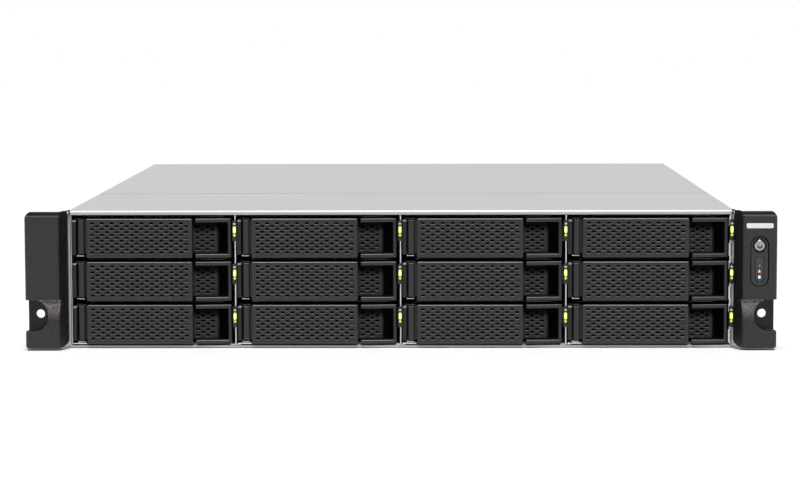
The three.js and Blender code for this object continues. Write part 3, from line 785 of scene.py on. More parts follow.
def light_holder():
    """Black holder at the right-hand boundary of a bay, with a mouth for each light pipe."""
    mouths = [capsule(0, 18.2, 1.95, 4.7, 5), circle(0, 14.7, 0.95, 12)]
    mouths.append(rounded(about(0, 0.8), (21.5, 22.7), 0.4, 3))
    yield plate(rounded(about(0, 1.4), (11.0, 24.2), 0.6, 3), mouths, (-2.2, -0.3), "y", 0.1)
    yield slab(about(0, 0.9), (-0.5, 4), (11.4, 22), 0.1, 1)
    yield rod((0, 12.0), 0.42, (-2.3, -0.6), "y", 0.2, 12)


def activity_light():
    """Long light pipe of the drive's activity."""
    yield prism(capsule(0, 18.2, 1.85, 4.6, 6), (-2.6, -0.6), "y", 0.45, 3)


def status_light():
    """Small light pipe of the drive's state."""
    yield lathe([(0, -2.5), (0.6, -2.4), (0.9, -2.0), (0.9, -0.6), (0, -0.6)], (0, 14.7), "y", 16)


def holder_pins():
    """Moulded pin above the light pipes, with a painted glow."""
    yield prism(rounded(about(0, 0.75), (21.55, 22.65), 0.35, 3), (-2.55, -0.6), "y", 0.2)


# Rows hold solids, look, endings of the body and of the CAD node, and the height below which edges get
# painted highlights.
TRAY_PARTS = {
    "lever_panel": (lever, "tray_dark", "_handle", "_lever", 99.0),
    # The release tongue's look paints the shade of the pocket frame.
    "release_tongue": (tongue, "release_dark", "_release", "_latch", 17.0),
    "pocket_frame": (pocket_frame, "tray_dark", "", "", 99.0),
    "pocket_walls": (pocket_walls, "tray_shade", "", "", 0),
    "carrier_rails": (carrier, "tray_post", "", "_carrier", 99.0),
    "strip_cap": (strip_cap, "cap_grey", "", "", 0),
    "hinge_lug": (hinge_lug, "zinc_sheet", "", "", 0),
    "drive_body": (drive_body, "drive_cast", "", "", 0),
    "drive_lid": (drive_lid, "zinc_sheet", "", "", 0),
    "drive_board": (drive_board, "board_green", "", "", 0),
}
BAY_LIGHTS = {
    "light_holder": (light_holder, "socket_black"),
    "activity_light": (activity_light, "light_on"),
    "status_light": (status_light, "light_dim"),
    "holder_pins": (holder_pins, "pin_white"),
}


def paint_tray_highlights_and_shade(mesh, highest):
    """Paint highlights on the edges that look up and forward, below a height, and paint shade on the walls of
    the slots.
    """
    front = min(v.co.y for v in mesh.vertices) / MM

    # Look 1 is a painted highlight on edges, 3 a painted highlight on slot lips, 2 painted shade on slot
    # walls.
    def choose(normal, centre, size):
        if normal.z > 0.3 and normal.y < -0.25 and size < 90 and centre.z < highest:
            return 3 if size < 2.0 else 1
        wall = size < 2.6 and abs(normal.y) < 0.1 and SLOT["lip_depth"] < centre.y - front < 1.5
        return 2 if wall else 0

    repaint(mesh, ("tray_edge", "tray_shade", "tray_lip"), choose)


def bays():
    """Number and place of every bay."""
    for number in range(1, COLUMNS * ROWS + 1):
        x, _, z = extent(f"tray_{number:02d}_lever")
        yield f"{number:02d}", (x[0] - PIVOT[0] + BARREL, 0, z[0])


def build_trays():
    meshes = {name: mesh_of(name, row[0](), row[1]) for name, row in TRAY_PARTS.items()}
    for name, row in TRAY_PARTS.items():
        if row[-1]:
            paint_tray_highlights_and_shade(meshes[name], row[-1])
    for number, at in bays():
        tray = f"tray_{number}"
        for name, (_, look, body, node, _) in TRAY_PARTS.items():
            replaced = [tray + node] if node else ()
            place(f"{tray}_{name}", meshes[name], SLOT_OF[look], replaced, tray + body, at)


def build_bay_lights():
    meshes = {name: mesh_of(name, row[0](), row[1]) for name, row in BAY_LIGHTS.items()}
    for number, (x, y, z) in bays():
        for name, row in BAY_LIGHTS.items():
            place(f"bay_{number}_{name}", meshes[name], SLOT_OF[row[1]], at=(x + BAY - 0.3, y, z))


def cage():
    """Dividers with cable cut-outs, side sheets, a flange on the right, and the floor sheet."""
    _, y, z = extent("drive_cage")
    back = y[1] - 4
    top = z[1]
    floor = (1.5, 2.1)
    outline = [(0.4, 1.5), (back, 1.5), (back, top), (0.4, top)]
    windows = [rounded(reach(a, 26), reach(b, 14), 2) for a in (22, 62, 102) for b in (9, 36, 63)]
    for x in BAY_LEFT[1:]:
        yield plate(outline, windows, about(x, 0.4), "x", 0.08)
        yield slab(about(x, 3.4), (0.4, 8), floor, 0.15, 1)
    outer = INNER - 0.3
    for x in ((-outer, 0.9 - INNER), (INNER - 0.9, outer)):
        yield slab(x, (0.4, back), (2.0, top), 0.1, 1)
    for low in series(3.2, ROW_PITCH, ROWS):
        for ledge in (reach(low, 8.2), reach(low + 19.6, 5)):
            yield slab((INNER - 2.0, outer), (0.4, 1.1), ledge, 0.2)
    yield slab((INNER - 1.5, outer), (0.6, 1.3), (2.2, top), 0.15)
    yield slab(about(0, INNER - 1.0), (8, back), floor, 0.1, 1)
    for x in BAY_LEFT:
        for y, z in (((-0.6, 8.2), (2.25, 2.85)), ((7.4, 8.4), (1.6, 2.8))):
            yield slab(reach(x + 1.2, 9), y, z, 0.12, 1)


# ---- case
# Profiles of turned pieces are (radius, height) points over the face they stand on.

STUD = ((0, 0), (2.2, 0), (2.2, 1.2), (3.6, 1.2), (3.6, 2.4), (0, 2.4))
SIDE_SCREW = ((0, 0), (3.0, 0), (2.4, 0.9), (1.1, 0.9), (0.9, 0.3), (0, 0.3))
BRACKET_SCREW = ((0, 0), (2.9, 0), (2.5, 0.8), (0.9, 0.8), (0.8, 0.2), (0, 0.2))
PAN_HEAD = ((0, -0.3), (1, -0.3), (1, 0.5), (0.75, 1.1), (0.32, 1.2), (0.28, 0.5), (0, 0.5))


def screw(centre, face, axis, radius, out=1):
    """A pan-head screw with a recess, standing on a face."""
    return lathe([(radius * r, height) for r, height in PAN_HEAD], centre, axis, 18, face, out)


def paint_front_shade_and_highlight(obj, cut="lip_grey", fold="bend_bright"):
    """Paint shade on the faces that look forward, with the cut look, and a highlight on those above them,
    with the fold look.
    """

    def choose(normal, centre, size):
        if normal.y < -0.8:
            return 1
        return 2 if normal.y < -0.2 and normal.z > 0.2 else 0

    repaint(obj.data, (cut, fold), choose)


def build_shell():
    """Floor and side walls with vents, rail studs and screws."""
    wall = [(0, BEND), (DEPTH, BEND), (DEPTH, WALL_TOP), (0, WALL_TOP)]
    vents = [capsule(y, z, 2.4, 9, 3) for z in series(22, 13, 4) for y in series(186, 5.2, 16)]
    solids = []
    studs = []
    for s, quarter in zip(SIDES, (2, 3)):
        solids.append(plate(wall, vents, sorted((s * HALF, s * INNER)), "x"))
        bend = (s * (HALF - BEND), BEND)
        fold = arc(*bend, BEND, quarter, 6) + arc(*bend, BEND - SHEET, quarter, 6)[::-1]
        solids.append(prism(fold, (0, DEPTH), "y", 0.0))
        face = {"face": s * HALF, "out": s}
        studs += [lathe(STUD, (y, 44), "x", **face) for y in (70, 196, 322, 470)]
        studs += [lathe(SIDE_SCREW, (y, z), "x", **face) for y in (30, 110, 500) for z in (14, 74)]
    solids.append(slab(about(0, HALF - BEND), (0, DEPTH), (0, SHEET), 0.0))
    paint_front_shade_and_highlight(piece("case_shell", solids, "cover_grey", "case_base"))
    piece("side_studs_and_screws", studs, "screw_steel")


def build_top():
    """Front plate with its fold, and the sliding cover with its thumbscrews."""
    bend = (1.5, TOP - 1.5)
    profile = [(SEAM, TOP)] + arc(*bend, 1.5, 1, 6) + [(0, LIP_LOW), (SHEET - 0.1, LIP_LOW)]
    profile += arc(*bend, 0.4, 1, 6)[::-1] + [(SEAM, TOP - SHEET + 0.1)]
    front = prism(profile, (-HALF, HALF), "x", 0.18)
    paint_front_shade_and_highlight(piece("front_plate_sheet", [front], "cover_grey", "front_top_plate"))

    y = extent("top_cover")[1]
    under = TOP - SHEET
    back = DEPTH + 0.3 + SHEET
    cover = [slab((-HALF, HALF), (y[0] + 0.6, back), (under, TOP), 0.2)]
    for x in ((0.4 - INNER, 1.6 - INNER), (INNER - 1.6, INNER - 0.4)):
        cover.append(slab(x, (176, DEPTH - 6), (77, under + 0.2), 0.2, 1))
    cover.append(slab((-HALF, 130), (DEPTH + 0.3, back), (78, under + 0.2), 0.2))
    sheet = piece("sliding_cover_sheet", cover, "cover_grey", "top_cover", body="cover")
    # Painted shade along the cover's front edge, where it meets the front plate.
    paint_front_shade_and_highlight(sheet, "seam_grey", "seam_grey")

    screws = []
    for spot in ((-186, 82.5), (104, 82.5)):
        valleys, ridges = circle(*spot, 3.65, 56)[::2], circle(*spot, 3.9, 56)[1::2]
        head = [point for pair in zip(valleys, ridges) for point in pair]
        screws.append(prism(head, (back + 2.0, y[1]), "y", 0.15, 1))
        screws.append(rod(spot, 2.6, (back - 0.2, back + 2.1), "y", 0.0, 20))
    piece("cover_thumbscrews", screws, "screw_steel", body="cover")


# ---- ears and controls

SOFTENED = 0.32 * MM  # size of the steps that an ear's cover is softened with
ARM_HOLES = [(y, z) for y in (14, 44) for z in (14, 44, 74)]


def ear_mesh(node):
    """The ear cover's solid, with every edge and inner corner softened."""
    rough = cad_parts[node].copy()
    rough.data = rough.data.copy()
    rough.parent = None
    bpy.context.scene.collection.objects.link(rough)
    remesh = rough.modifiers.new("voxels", "REMESH")
    remesh.mode = "VOXEL"
    remesh.voxel_size = SOFTENED
    smooth = rough.modifiers.new("smooth", "SMOOTH")
    smooth.factor = 0.5
    smooth.iterations = 5
    bpy.context.view_layer.update()
    evaluated = rough.evaluated_get(bpy.context.evaluated_depsgraph_get())
    mesh = bpy.data.meshes.new_from_object(evaluated)
    bpy.data.objects.remove(rough)
    mesh.name = node + "_moulding"
    mesh.shade_smooth()
    mesh.materials.clear()

    def choose(normal, centre, size):
        x, y, z = centre
        depth = y - CASE_FRONT - EAR_FRONT
        in_notch = abs(x) > 226.6 and 11.7 < z < 32.4 and depth > 3.6
        crown = z > 86.5 and depth > 0.5
        if crown or abs(x) < 219.1 or in_notch:
            return 1
        # Front faces under the ear's block take the painted highlight.
        return 2 if 12 < z < 31.9 and normal.y < -0.7 else 0

    repaint(mesh, ("ear_grain", "ear_smooth", "ear_ledge"), choose)
    return mesh


def build_ears():
    for side, s in zip(("left", "right"), SIDES):
        node = f"{side}_ear_cover"
        place(f"{side}_ear_moulding", ear_mesh(node), "ear_plastic", [node])
        _, y, z = extent(f"{side}_rack_bracket")
        face = HALF + 2.0
        outline = rounded(sorted((s * 240.2, s * (HALF + 0.3))), z, 1.2)
        flange = plate(outline, [circle(s * 232.55, 22.7, 2.75, 32)], reach(y[0], 1.7), "y", 0.15)
        holes = [circle(*hole, 1.8, 16) for hole in ARM_HOLES]
        sides = sorted((s * (HALF + 0.3), s * face))
        arm = plate(rounded((y[0] + 0.2, y[1]), z, 2.0), holes, sides, "x", 0.12)
        piece(f"{side}_bracket_sheet", [flange, arm], "zinc_sheet", f"{side}_rack_bracket")
        heads = [lathe(BRACKET_SCREW, hole, "x", face=s * face, out=s) for hole in ARM_HOLES]
        piece(f"{side}_bracket_screws", heads, "screw_steel")


def build_controls():
    """Inlay with the status window, its three marks, the power button and a blank badge."""
    x = CONTROL_X
    width, y, height = extent("control_inlay")
    button = (x, mean(extent("power_button")[2]))
    window = (x, mean(extent("status_window")[2]))
    outline = capsule(x, mean(height), width[1] - width[0], height[1] - height[0], 16)
    inlay = plate(outline, [circle(*button, 4.05, 40), capsule(*window, 5.5, 16.6, 12)], y, "y", 0.25)
    piece("control_plate", [inlay], "gloss_black", "control_inlay")
    y = extent("status_window")[1]
    pane = prism(capsule(*window, 5.1, 16.2, 12), y, "y", 0.35, 3)
    piece("indicator_window", [pane], "smoked_window", "status_window")
    bolt = [(-0.7, 1.0), (0.1, 2.3), (0.1, 1.7), (0.7, 3.2), (-0.1, 1.9), (-0.1, 2.4)]
    arrow = [(-1.1, -2.3), (1.1, -2.3), (0.35, -1.2), (0, -0.2), (-0.35, -1.2)]
    dash = rounded(about(0, 0.7), (-6.1, -4.3), 0.35, 3)
    marks = {"power_mark": (bolt, "green"), "network_mark": (arrow, "amber"), "ready_mark": (dash, "white")}
    for name, (points, tone) in marks.items():
        shape = [(a + x, b + window[1]) for a, b in points]
        piece(name, [prism(shape, (y[0] - 0.08, y[0] + 0.3), "y", 0.0)], f"mark_{tone}")

    y, back = extent("power_button")[1]
    dome = [(0, 0.35), (1.2, 0.3), (2.2, 0.12), (2.9, 0), (3.5, 0.35), (3.8, 1.1)]
    cap = lathe(dome + [(3.8, back - y), (0, back - y)], button, "y", 48, y)
    piece("power_button_cap", [cap], "button_chrome", "power_button", body="button")
    ring = []
    for i in range(25):
        angle = pi / 2 + radians(35) + radians(290) * i / 24
        ring.append((x + 1.45 * cos(angle), y + 0.28, button[1] + 1.45 * sin(angle)))
    bar = slab(about(x, 0.18), (y + 0.08, y + 0.5), (button[1] + 0.6, button[1] + 2.1), 0.05, 1)
    piece("power_button_symbol", [wire(ring, 0.2), bar], "socket_black", body="button")

    badge = prism(rounded(about(x, 8.6), (78.2, 81.4), 0.8), (EAR_FRONT + 0.02, EAR_FRONT + 0.7), "y", 0.15)
    piece("blank_badge", [badge], "badge_silver")


# ---- boards and fans inside

FAN_SCREW = 35.7  # from a fan's middle to its screws, across and up
MOTOR = ((0, 21), (15, 21), (16, 22), (16, 25), (0, 25))
HUB = ((0, 2), (14.5, 2), (16.4, 2.6), (17, 4), (17, 20), (0, 20))
CELL = ((0, -0.1), (9.5, -0.1), (10, 0.6), (10, 2.4), (9.4, 3), (0, 3))
MEMORY_X = (62, 73)
BOARD_CHIPS = (  # x, y, size, height
    (-130, 340, 20, 2.4),
    (-120, 400, 16, 1.6),
    (-140, 440, 12, 1.4),
    (94, 480, 14, 1.6),
    (30, 320, 18, 2.0),
    (96, 430, 10, 1.4),
)


def can(x, y, radius, height):
    """An electrolytic capacitor on the main board: a can with a rolled foot and a scored lid."""
    profile = [(0, 0), (radius, 0), (radius * 0.9, 0.9), (radius, 1.6), (radius, height - 0.5)]
    profile += [(radius * 0.85, height), (radius * 0.6, height - 0.2), (0, height - 0.2)]
    return lathe(profile, (x, y), "z", face=BOARD_TOP - 0.1)


def on_board(height):
    """Limits in height of a part that stands on the main board."""
    return (BOARD_TOP - 0.1, BOARD_TOP + height)


def build_backplane():
    """Upright board behind the drives, with windows for air and a connector in every bay."""
    width, y, height = extent("backplane_board")
    face = y[1] - 1.6
    windows, plugs, chips = [], [], []
    for x in BAY_LEFT:
        for z in series(FIRST_ROW, ROW_PITCH, ROWS):
            windows.append(rounded((x + 52, x + 98), (z + 10, z + 20), 1.2, 3))
            plug = rounded((x + 8, x + 50), (z + 4, z + 9), 0.5, 2)
            plugs.append(prism(plug, (y[0], face + 0.1), "y", 0.2, 1))
            for a in series(x + 12, 13, 3):
                chips.append(slab(reach(a, 6), (y[1] - 0.1, y[1] + 1.1), (z + 12, z + 18), 0.15, 1))
    sheet = plate(rounded(width, height, 1.5), windows, (face, y[1]), "y")
    piece("backplane_sheet", [sheet], "board_green", "backplane_board")
    piece("backplane_plugs", plugs, "socket_black")
    piece("backplane_chips", chips, "chip_grey")


def fan_blade(angle):
    """A cambered, twisted blade from hub to tip, at an angle about the fan's axis."""
    bm = bmesh.new()
    rings = []
    steps = 7
    for i in range(steps + 1):
        part = i / steps
        radius = 16.2 + 20.4 * part
        pitch = radians(50 - 18 * part)
        chord = 14 + 6 * part
        section = []
        for side in (1, -1):
            for t in (-0.5, -0.25, 0.0, 0.25, 0.5)[::side]:
                camber = 1.8 * (1 - 4 * t * t) + side * 0.6 * (1 - 3.2 * t * t)
                across = t * chord * cos(pitch) - camber * sin(pitch)
                along = t * chord * sin(pitch) + camber * cos(pitch)
                turn = angle + across / radius
                section.append((radius * cos(turn), FAN_MIDDLE + along, radius * sin(turn)))
        rings.append([bm.verts.new(p) for p in section])
    loft(bm, rings)
    bm.faces.new(rings[0])
    bm.faces.new(rings[-1])
    return soften(bm)


def build_fans():
    """Bracket, three fan frames with their rotors, and a finger guard in front of each."""
    width, y, height = extent("fan_wall")
    front = y[0]
    bores = [circle(x, FAN_Z, 38.4, 48) for x in FAN_X]
    sheet = plate(rounded(width, height, 1.5), bores, (y[1] - 1.2, y[1]), "y")
    piece("fan_bracket_sheet", [sheet], "zinc_sheet", "fan_wall")
    frames, screws, guards = [], [], []
    for x in FAN_X:
        middle = (x, FAN_Z)
        square = rounded(about(x, 40), about(FAN_Z, 40), 4, 5)
        bore = circle(*middle, 38, 64)
        corners = [(x + a, FAN_Z + b) for a in (-FAN_SCREW, FAN_SCREW) for b in (-FAN_SCREW, FAN_SCREW)]
        pins = [circle(*corner, 1.6, 10) for corner in corners]
        for start in (front, front + 21.2):
            frames.append(plate(square, [bore] + pins, reach(start, 4), "y", 0.3))
        frames.append(plate(circle(*middle, 39.9, 64), [bore], (front + 3.9, front + 21.3), "y"))
        frames.append(lathe(MOTOR, middle, "y", 40, front))
        for i in range(4):
            strut = slab((x + 15, x + 38.6), (front + 22, front + 25), about(FAN_Z, 1.6), 0.6)
            frames.append(turned(strut, pi / 2 * i + 0.5, middle))
        screws += [screw(corner, front + 0.3, "y", 2.4, -1) for corner in corners]
        for radius in (12, 20, 28, 36):
            ring = [(a, front - 0.9, b) for a, b in circle(*middle, radius)]
            guards.append(wire(ring + ring[:1], 0.6))
        for angle in (pi / 4, 3 * pi / 4):
            spoke = rod((x, front - 0.9), 0.6, about(FAN_Z, 38.5), "z", 0.0, 10)
            guards.append(turned(spoke, angle, middle))
    piece("fan_frames", frames, "fan_black")
    piece("fan_screws", screws, "screw_steel")
    piece("fan_guards", guards, "button_chrome", slot="zinc_steel")
    for k, x in enumerate(FAN_X, 1):
        solids = [lathe(HUB, (0, 0), "y", 48, front)] + [fan_blade(2 * pi * i / 7) for i in range(7)]
        for solid in solids:
            bmesh.ops.translate(solid, vec=(x, 0, FAN_Z), verts=solid.verts)
        piece(f"fan_{k}_rotor", solids, "fan_black", f"fan_rotor_{k}", body=f"fan_{k}")


def build_main_board():
    """Main board on its standoffs, with memory, power stages, chips and a slot."""
    width, depth, _ = extent("main_board")
    solids = [plate(rounded(width, (depth[0], 512), 2), [], (BOARD_Z, BOARD_TOP), "z")]
    chips, sockets, cans, posts = [], [], [], []
    low = BOARD_TOP + 2
    for x in MEMORY_X:
        sockets.append(prism(rounded(reach(x, 6), (330, 464), 0.8, 2), on_board(5), "z", 0.3, 1))
        for y in ((326, 330.2), (463.8, 468)):
            sockets.append(slab((x + 0.8, x + 5.2), y, on_board(14), 0.5, 1))
        card = [(331, low), (463, low), (463, low + 28), (331, low + 28)]
        solids.append(plate(card, [], about(x + 3, 0.6), "x"))
        for y in series(336, 14, 9):
            chips.append(slab(about(x + 3, 1.5), reach(y, 10), (low + 9, low + 21), 0.15, 1))
    sockets.append(prism(rounded((-175, -169), (360, 448), 0.8, 2), on_board(10.4), "z", 0.3, 1))
    clamp = [rounded((-32, 6), (398, 436), 2)]
    sockets.append(plate(rounded((-38, 12), (392, 442), 3), clamp, on_board(3.4), "z", 0.2))
    for y in series(374, 11, 8):
        cans.append(can(-68, y + 2, 3.6, 9))
        chips.append(slab((-92, -80), reach(y, 8), on_board(5), 0.4, 1))
    cans += [can(x, 306, 4.2, 12) for x in series(-150, 12, 6)]
    for x, y, size, height in BOARD_CHIPS:
        chips.append(slab(reach(x, size), reach(y, size), on_board(height), 0.2, 1))
    posts.append(lathe(CELL, (-190, 330), "z", 36, BOARD_TOP))
    for x in (width[0] + 10, mean(width), width[1] - 10):
        for y in (300, 482):
            posts.append(rod((x, y), 3, (1.5, BOARD_Z), "z", 0.0, 6))
            posts.append(screw((x, y), BOARD_TOP, "z", 3.0))
    piece("main_board_sheets", solids, "board_green", "main_board")
    piece("board_sockets", sockets, "socket_black")
    piece("board_chips", chips, "chip_grey")
    piece("board_capacitors", cans, "heatsink_aluminium")
    piece("board_posts_and_cell", posts, "screw_steel")


def heatsink():
    """Base plate and fins of the processor's heatsink."""
    x, y, z = extent("cpu_heatsink")
    yield slab(x, y, (z[0], z[0] + 5), 0.4)
    fin = [(y[0], z[0] + 4.8), (y[1], z[0] + 4.8), (y[1], z[1] - 2), (y[1] - 4, z[1])]
    fin += [(y[0] + 4, z[1]), (y[0], z[1] - 2)]
    fins = 21
    for a in series(x[0], (x[1] - x[0] - 1.0) / (fins - 1), fins):
        yield prism(fin, (a, a + 1.0), "x", 0.0)


# ---- rear wall, ports and power supplies

JACK_KEY = [(3.1, 12.6), (3.1, 13.9), (5.3, 13.9), (5.3, 20)]  # right half of a network socket's mouth
JACKS = series(-43.25, 17.5, 4)
USB_X = (19.5, 32.5)
USB_LOW = (11.4, 18.6)
REAR_SCREWS = ((-206, 34), (-206, 62), (-60, 60), (-60, 12), (129, 16), (129, 60))
LIGHT_DOME = ((0, -0.2), (1.3, -0.2), (1.3, 0.3), (0.7, 0.6), (0, 0.65))


def build_ports():
    """Shielded network and USB sockets at the board's rear edge, with contacts and lights."""
    back = extent("main_board")[1][1]
    front = back - 13
    jack_mouths = [rounded(about(x, 5.85), (12.05, 20.35), 0.4, 2) for x in JACKS]
    usb_mouths = [rounded(USB_X, (z, z + 5.4), 0.5, 2) for z in USB_LOW]
    shields = []
    for x, z, mouths in (((-52, 18), (9.5, 24), jack_mouths), ((17.9, 34), (9.5, 26), usb_mouths)):
        shields.append(plate(rounded(x, z, 0.6), mouths, (front, back), "y", 0.12))
        shields.append(slab(x, (back - 21, back - 12.9), z, 0.3))
    piece("port_shields", shields, "zinc_sheet")
    inserts, contacts, lights = [], [], []
    for x in JACKS:
        keyed = [(x - a, b) for a, b in JACK_KEY[::-1]] + [(x + a, b) for a, b in JACK_KEY]
        outline = rounded(about(x, 5.8), (12.1, 20.3), 0.4, 2)
        inserts.append(plate(outline, [keyed], (front, back - 0.4), "y"))
        inserts.append(slab(about(x, 5.8), (front - 0.1, front + 0.4), (12.1, 20.3), 0.0))
        for a in series(x - 3.5, 1, 8):
            contacts.append(slab(about(a, 0.22), (front + 0.5, back - 3), (18.9, 19.5), 0.0))
        for a in (x - 6.2, x + 4.2):
            light = rounded(reach(a, 2.0), (21.4, 22.9), 0.3, 2)
            lights.append(prism(light, (back - 0.1, back + 0.25), "y", 0.1, 1))
    for z in USB_LOW:
        inserts.append(slab((20.4, 31.6), (front, back - 2), (z + 3.0, z + 4.6), 0.2, 1))
        for a in series(22.5, 2.35, 4):
            contacts.append(slab(about(a, 0.4), (front + 2, back - 2.6), (z + 2.8, z + 3.1), 0.0))
    piece("port_inserts", inserts, "socket_black")
    piece("port_contacts", contacts, "contact_gold")
    piece("port_lights", lights, "light_dim")


def build_rear():
    """Perforated rear wall, its screws and blanking plate, and the cage round the supplies."""
    y = extent("rear_panel")[1]
    narrow, wide = INNER - 2, INNER - 0.4
    x, _, lower = extent("power_supply_1")
    upper = extent("power_supply_2")[2]
    x = (x[0] - 0.6, x[1] + 0.6)
    right = [(narrow, 1.5), (wide, 3.6), (wide, 75), (narrow, 75), (narrow, 86.6)]
    notch = [(x[0], 1.5), (x[0], lower[1] + 0.6), (x[1], lower[1] + 0.6), (x[1], 1.5)]
    outline = [(-a, b) for a, b in right[::-1]] + notch + right
    openings = [rounded((-53, 35), (9.2, 27.2), 0.5, 2), rounded((-190, -76), (12, 30), 0.8, 2)]
    openings.append(rounded(x, (upper[0] - 0.6, upper[1] + 0.6), 0.5, 2))
    openings += hexagons((-200, -68), (38, 73), 5.4, 2.35) + hexagons((-50, 124), (33, 73), 5.4, 2.35)
    wall = plate(outline, openings, y, "y")
    piece("rear_wall_sheet", [wall], "cover_grey", "rear_panel")

    vents = [rounded(reach(a, 2.2), (15.5, 26.5), 1.0, 3) for a in series(-182, 5.0, 20)]
    outline = rounded((-191.5, -74.5), (10.6, 31.4), 1.2, 3)
    blank = plate(outline, vents, (y[1] + 0.05, y[1] + 1.0), "y", 0.15)
    piece("slot_blanking_plate", [blank], "zinc_sheet")
    heads = [screw((a, 21), y[1] + 1.0, "y", 2.3) for a in (-188.5, -77.5)]
    heads += [screw(spot, y[1], "y", 2.3) for spot in REAR_SCREWS]
    piece("rear_wall_screws", heads, "screw_steel")

    x, y, z = extent("psu_cage")
    holes = [rounded(reach(a, 30), reach(b, 22), 3) for a in (350, 396, 442) for b in (12, 54)]
    wall = plate([(y[0], z[0]), (y[1], z[0]), (y[1], z[1]), (y[0], z[1])], holes, reach(x[0], 1), "x")
    slots = [rounded((150, 194), reach(b, 4), 1.8) for b in series(348, 40, 4)]
    left = x[0] + 0.9
    shelf = plate([(left, y[0]), (x[1], y[0]), (x[1], y[1]), (left, y[1])], slots, (43.5, 44.5), "z")
    piece("supply_cage_sheets", [wall, shelf], "zinc_sheet", "psu_cage")


def supply_solids(x, y, z):
    """Housing of a power supply with a perforated face at each end."""
    back = SUPPLY_BACK
    left, low = x[0], z[0]
    outline = rounded(x, z, 1.0, 3)
    holes = [rounded((left + 5.75, left + 30.75), (low + 11.5, low + 28), 1.5, 3)]
    holes += hexagons((left + 34.6, left + 47.5), (low + 4.5, low + 35.5), 4.1, 1.75)
    holes += hexagons((left + 6, left + 30), (low + 31.8, low + 36), 4.1, 1.75)
    core = [rounded(grown(x, -1), grown(z, -1), 0.6, 3)]
    vents = hexagons(grown(x, -8), (low + 8, z[1] - 7), 5.0, 2.1)
    return [
        plate(outline, holes, (back - 1.0, back), "y", 0.12),
        plate(outline, core, (y[0], back - 0.9), "y", 0.1),
        plate(rounded(grown(x, -0.9), grown(z, -0.9), 0.8, 3), vents, (y[0] + 0.4, y[0] + 1.4), "y"),
    ]


def inlet_solids(left, low):
    """Black mains inlet, keyed at two corners."""
    back = SUPPLY_BACK
    x = (left + 6.0, left + 30.5)
    z = (low + 11.8, low + 27.7)
    half = [(x[1] - 2.2, z[1] - 5), (x[1] - 5.2, z[1] - 2), (x[0] + 5.2, z[1] - 2), (x[0] + 2.2, z[1] - 5)]
    keyed = [(x[0] + 2.2, z[0] + 2), (x[1] - 2.2, z[0] + 2)] + half
    rim = plate(rounded(x, z, 1.4, 3), [keyed], (back - 14, back + 0.3), "y", 0.1)
    return [rim, slab(x, about(back - 14, 0.4), z, 0.0)]


def tab_solids(node, low):
    """Release tab of a power supply, with a ribbed grip."""
    x, (front, back), z = extent(node)
    near, far = front + 1.0, back - 0.6
    grip = [(203, near), (205.5, near), (205.5, far), (204.9, back), (203.6, back), (203, far)]
    solids = [slab(x, reach(front, 1.2), z, 0.35), prism(grip, (low + 13, low + 26.5), "z", 0.3)]
    for y in series(front + 3, 1.5, 5):
        solids.append(slab((202.6, 203.2), reach(y, 0.7), (low + 14.5, low + 25), 0.15, 1))
    return solids


def build_supplies():
    """Two power supplies with handle, inlet, pins, light, release tab, and a near-black inside that paints
    shade.
    """
    back = SUPPLY_BACK
    for k in (1, 2):
        body = f"supply_{k}"
        x, y, z = extent(f"power_supply_{k}")
        left, low = x[0], z[0]
        core = slab(grown(x, -1.2), (y[0] + 3, back - 15), grown(z, -1.2), 0.5, 1)
        liner = slab((left + 32.5, x[1] - 1.2), (back - 15.1, back - 4), grown(z, -1.2), 0.5, 1)
        pins = []
        for a, b in ((11.2, 17.6), (18.2, 21.2), (25.2, 17.6)):
            pins.append(slab(about(left + a, 0.9), (back - 14, back - 2.5), about(low + b, 1.9), 0.3, 1))
        grip = [rounded((back - 1.9, y[1] - 3.5), (low + 8.2, low + 31.3), 3, 6)]
        loop = plate(rounded((back - 2, y[1]), (low + 5, low + 34.5), 5, 6), grip, (186.2, 189.8), "x", 0.9)
        light = lathe(LIGHT_DOME, (193.4, low + 35.4), "y", face=back)
        node = f"power_supply_{k}"
        latch = f"{node}_latch"
        parts = {
            "housing": (supply_solids(x, y, z), "zinc_sheet", "supply_metal", body, [node]),
            # A near-black block that paints the shade inside the supply.
            "inside": ([core, liner], "tray_shade", "supply_metal", body, ()),
            "inlet": (inlet_solids(left, low), "socket_black", None, body, ()),
            "pins": (pins, "screw_steel", None, body, ()),
            "handle": ([loop], "socket_black", "supply_metal", body, ()),
            "light": ([light], "mark_green", None, body, ()),
            "release_tab": (tab_solids(latch, low), "green_tab", None, f"{body}_tab", [latch]),
        }
        for name, (solids, look, slot, rides_on, nodes) in parts.items():
            piece(f"{body}_{name}", solids, look, *nodes, body=rides_on, slot=slot)


# ---- stage

FLOOR_HALF = 6.0  # metres
FLOOR_DROP = 0.0005
SEEN_BY_UNIT = 0.32  # brightness of the white surroundings for the unit
SEEN_BEHIND = 1.0  # their brightness as a backdrop
SUNS = {"key": (48, 6, 20, 1.32), "top": (78, 0, 24, 2.15)}  # elevation, azimuth, spread in degrees, power
CAMERA_TURNS = (("Z", 0.773), ("X", 90 - 5.22), ("Z", -0.135))  # in degrees, to the left, up and on edge


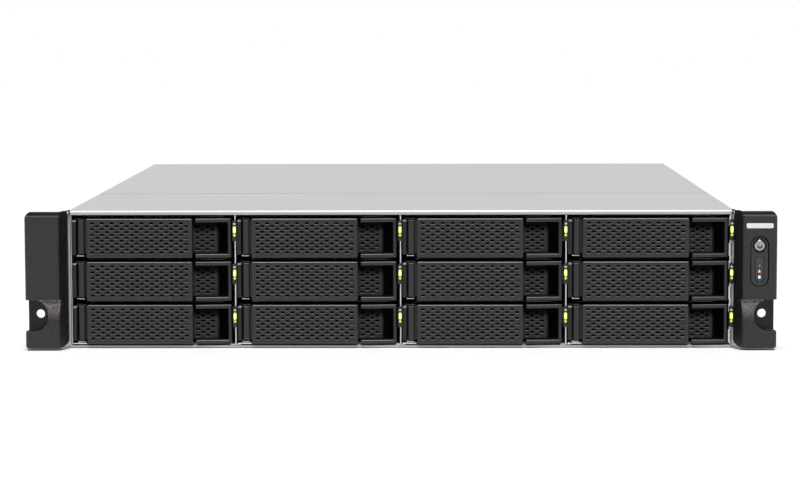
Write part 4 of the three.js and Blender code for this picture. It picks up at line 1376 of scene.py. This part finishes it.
def build_floor():
    bm = bmesh.new()
    bmesh.ops.create_grid(bm, x_segments=1, y_segments=1, size=FLOOR_HALF)
    mesh = bpy.data.meshes.new("floor")
    bm.to_mesh(mesh)
    bm.free()
    finish = Finish("floor_white", 0.6)
    finish.set("Base Color", finish.ramp(finish.noise(3.0, 3.0), tones((1.0, 1.0, 1.0), 0.9, 0.92)))
    mesh.materials.append(finish.material)
    floor = add("floor", mesh)
    floor.location.z = -FLOOR_DROP
    floor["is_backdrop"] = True


def build_world():
    """Plain white surroundings, dimmer for the unit than for the camera."""
    world = bpy.data.worlds.new("studio")
    bpy.context.scene.world = world
    world.use_nodes = True
    tree = world.node_tree
    background = tree.nodes["Background"]
    background.inputs["Color"].default_value = (1.0, 1.0, 1.0, 1.0)
    paths = tree.nodes.new("ShaderNodeLightPath")
    level = tree.nodes.new("ShaderNodeMapRange")
    level.inputs["To Min"].default_value = SEEN_BY_UNIT
    level.inputs["To Max"].default_value = SEEN_BEHIND
    tree.links.new(paths.outputs["Is Camera Ray"], level.inputs["Value"])
    tree.links.new(level.outputs["Result"], background.inputs["Strength"])


def add_sun(name, elevation, azimuth, spread, power):
    """A wide, soft light from far away; azimuth 0 is in front of the unit."""
    sun = add(name, bpy.data.lights.new(name, "SUN"))
    sun.data.energy = power
    sun.data.angle = radians(spread)
    sun.rotation_euler = (radians(90 - elevation), 0, radians(azimuth))


def build_camera():
    """A long lens in front of the unit and a little above it."""
    camera = add("camera", bpy.data.cameras.new("camera"))
    camera.data.lens = 116.8
    camera.data.sensor_width = 36.0
    camera.data.clip_end = 50.0
    place_at = Vector((22.2, CASE_FRONT - 1669.9, 215.8)) * MM
    camera.matrix_world = Matrix.Translation(place_at)
    for axis, degrees in CAMERA_TURNS:
        camera.matrix_world @= Matrix.Rotation(radians(degrees), 4, axis)
    bpy.context.scene.camera = camera


build_camera()
build_floor()
build_world()
for sun, settings in SUNS.items():
    add_sun(sun, *settings)
bpy.context.scene.view_settings.view_transform = "Standard"
build_trays()
build_bay_lights()
piece("drive_cage_sheets", cage(), "zinc_sheet", "drive_cage")
build_shell()
build_top()
build_ears()
build_controls()
build_backplane()
build_fans()
build_main_board()
piece("cpu_heatsink_fins", heatsink(), "heatsink_aluminium", "cpu_heatsink")
build_ports()
build_rear()
build_supplies()

boxes = {"cad": CAD_BOX, "visual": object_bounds()}
{key: [list(corner) for corner in box] for key, box in boxes.items()}
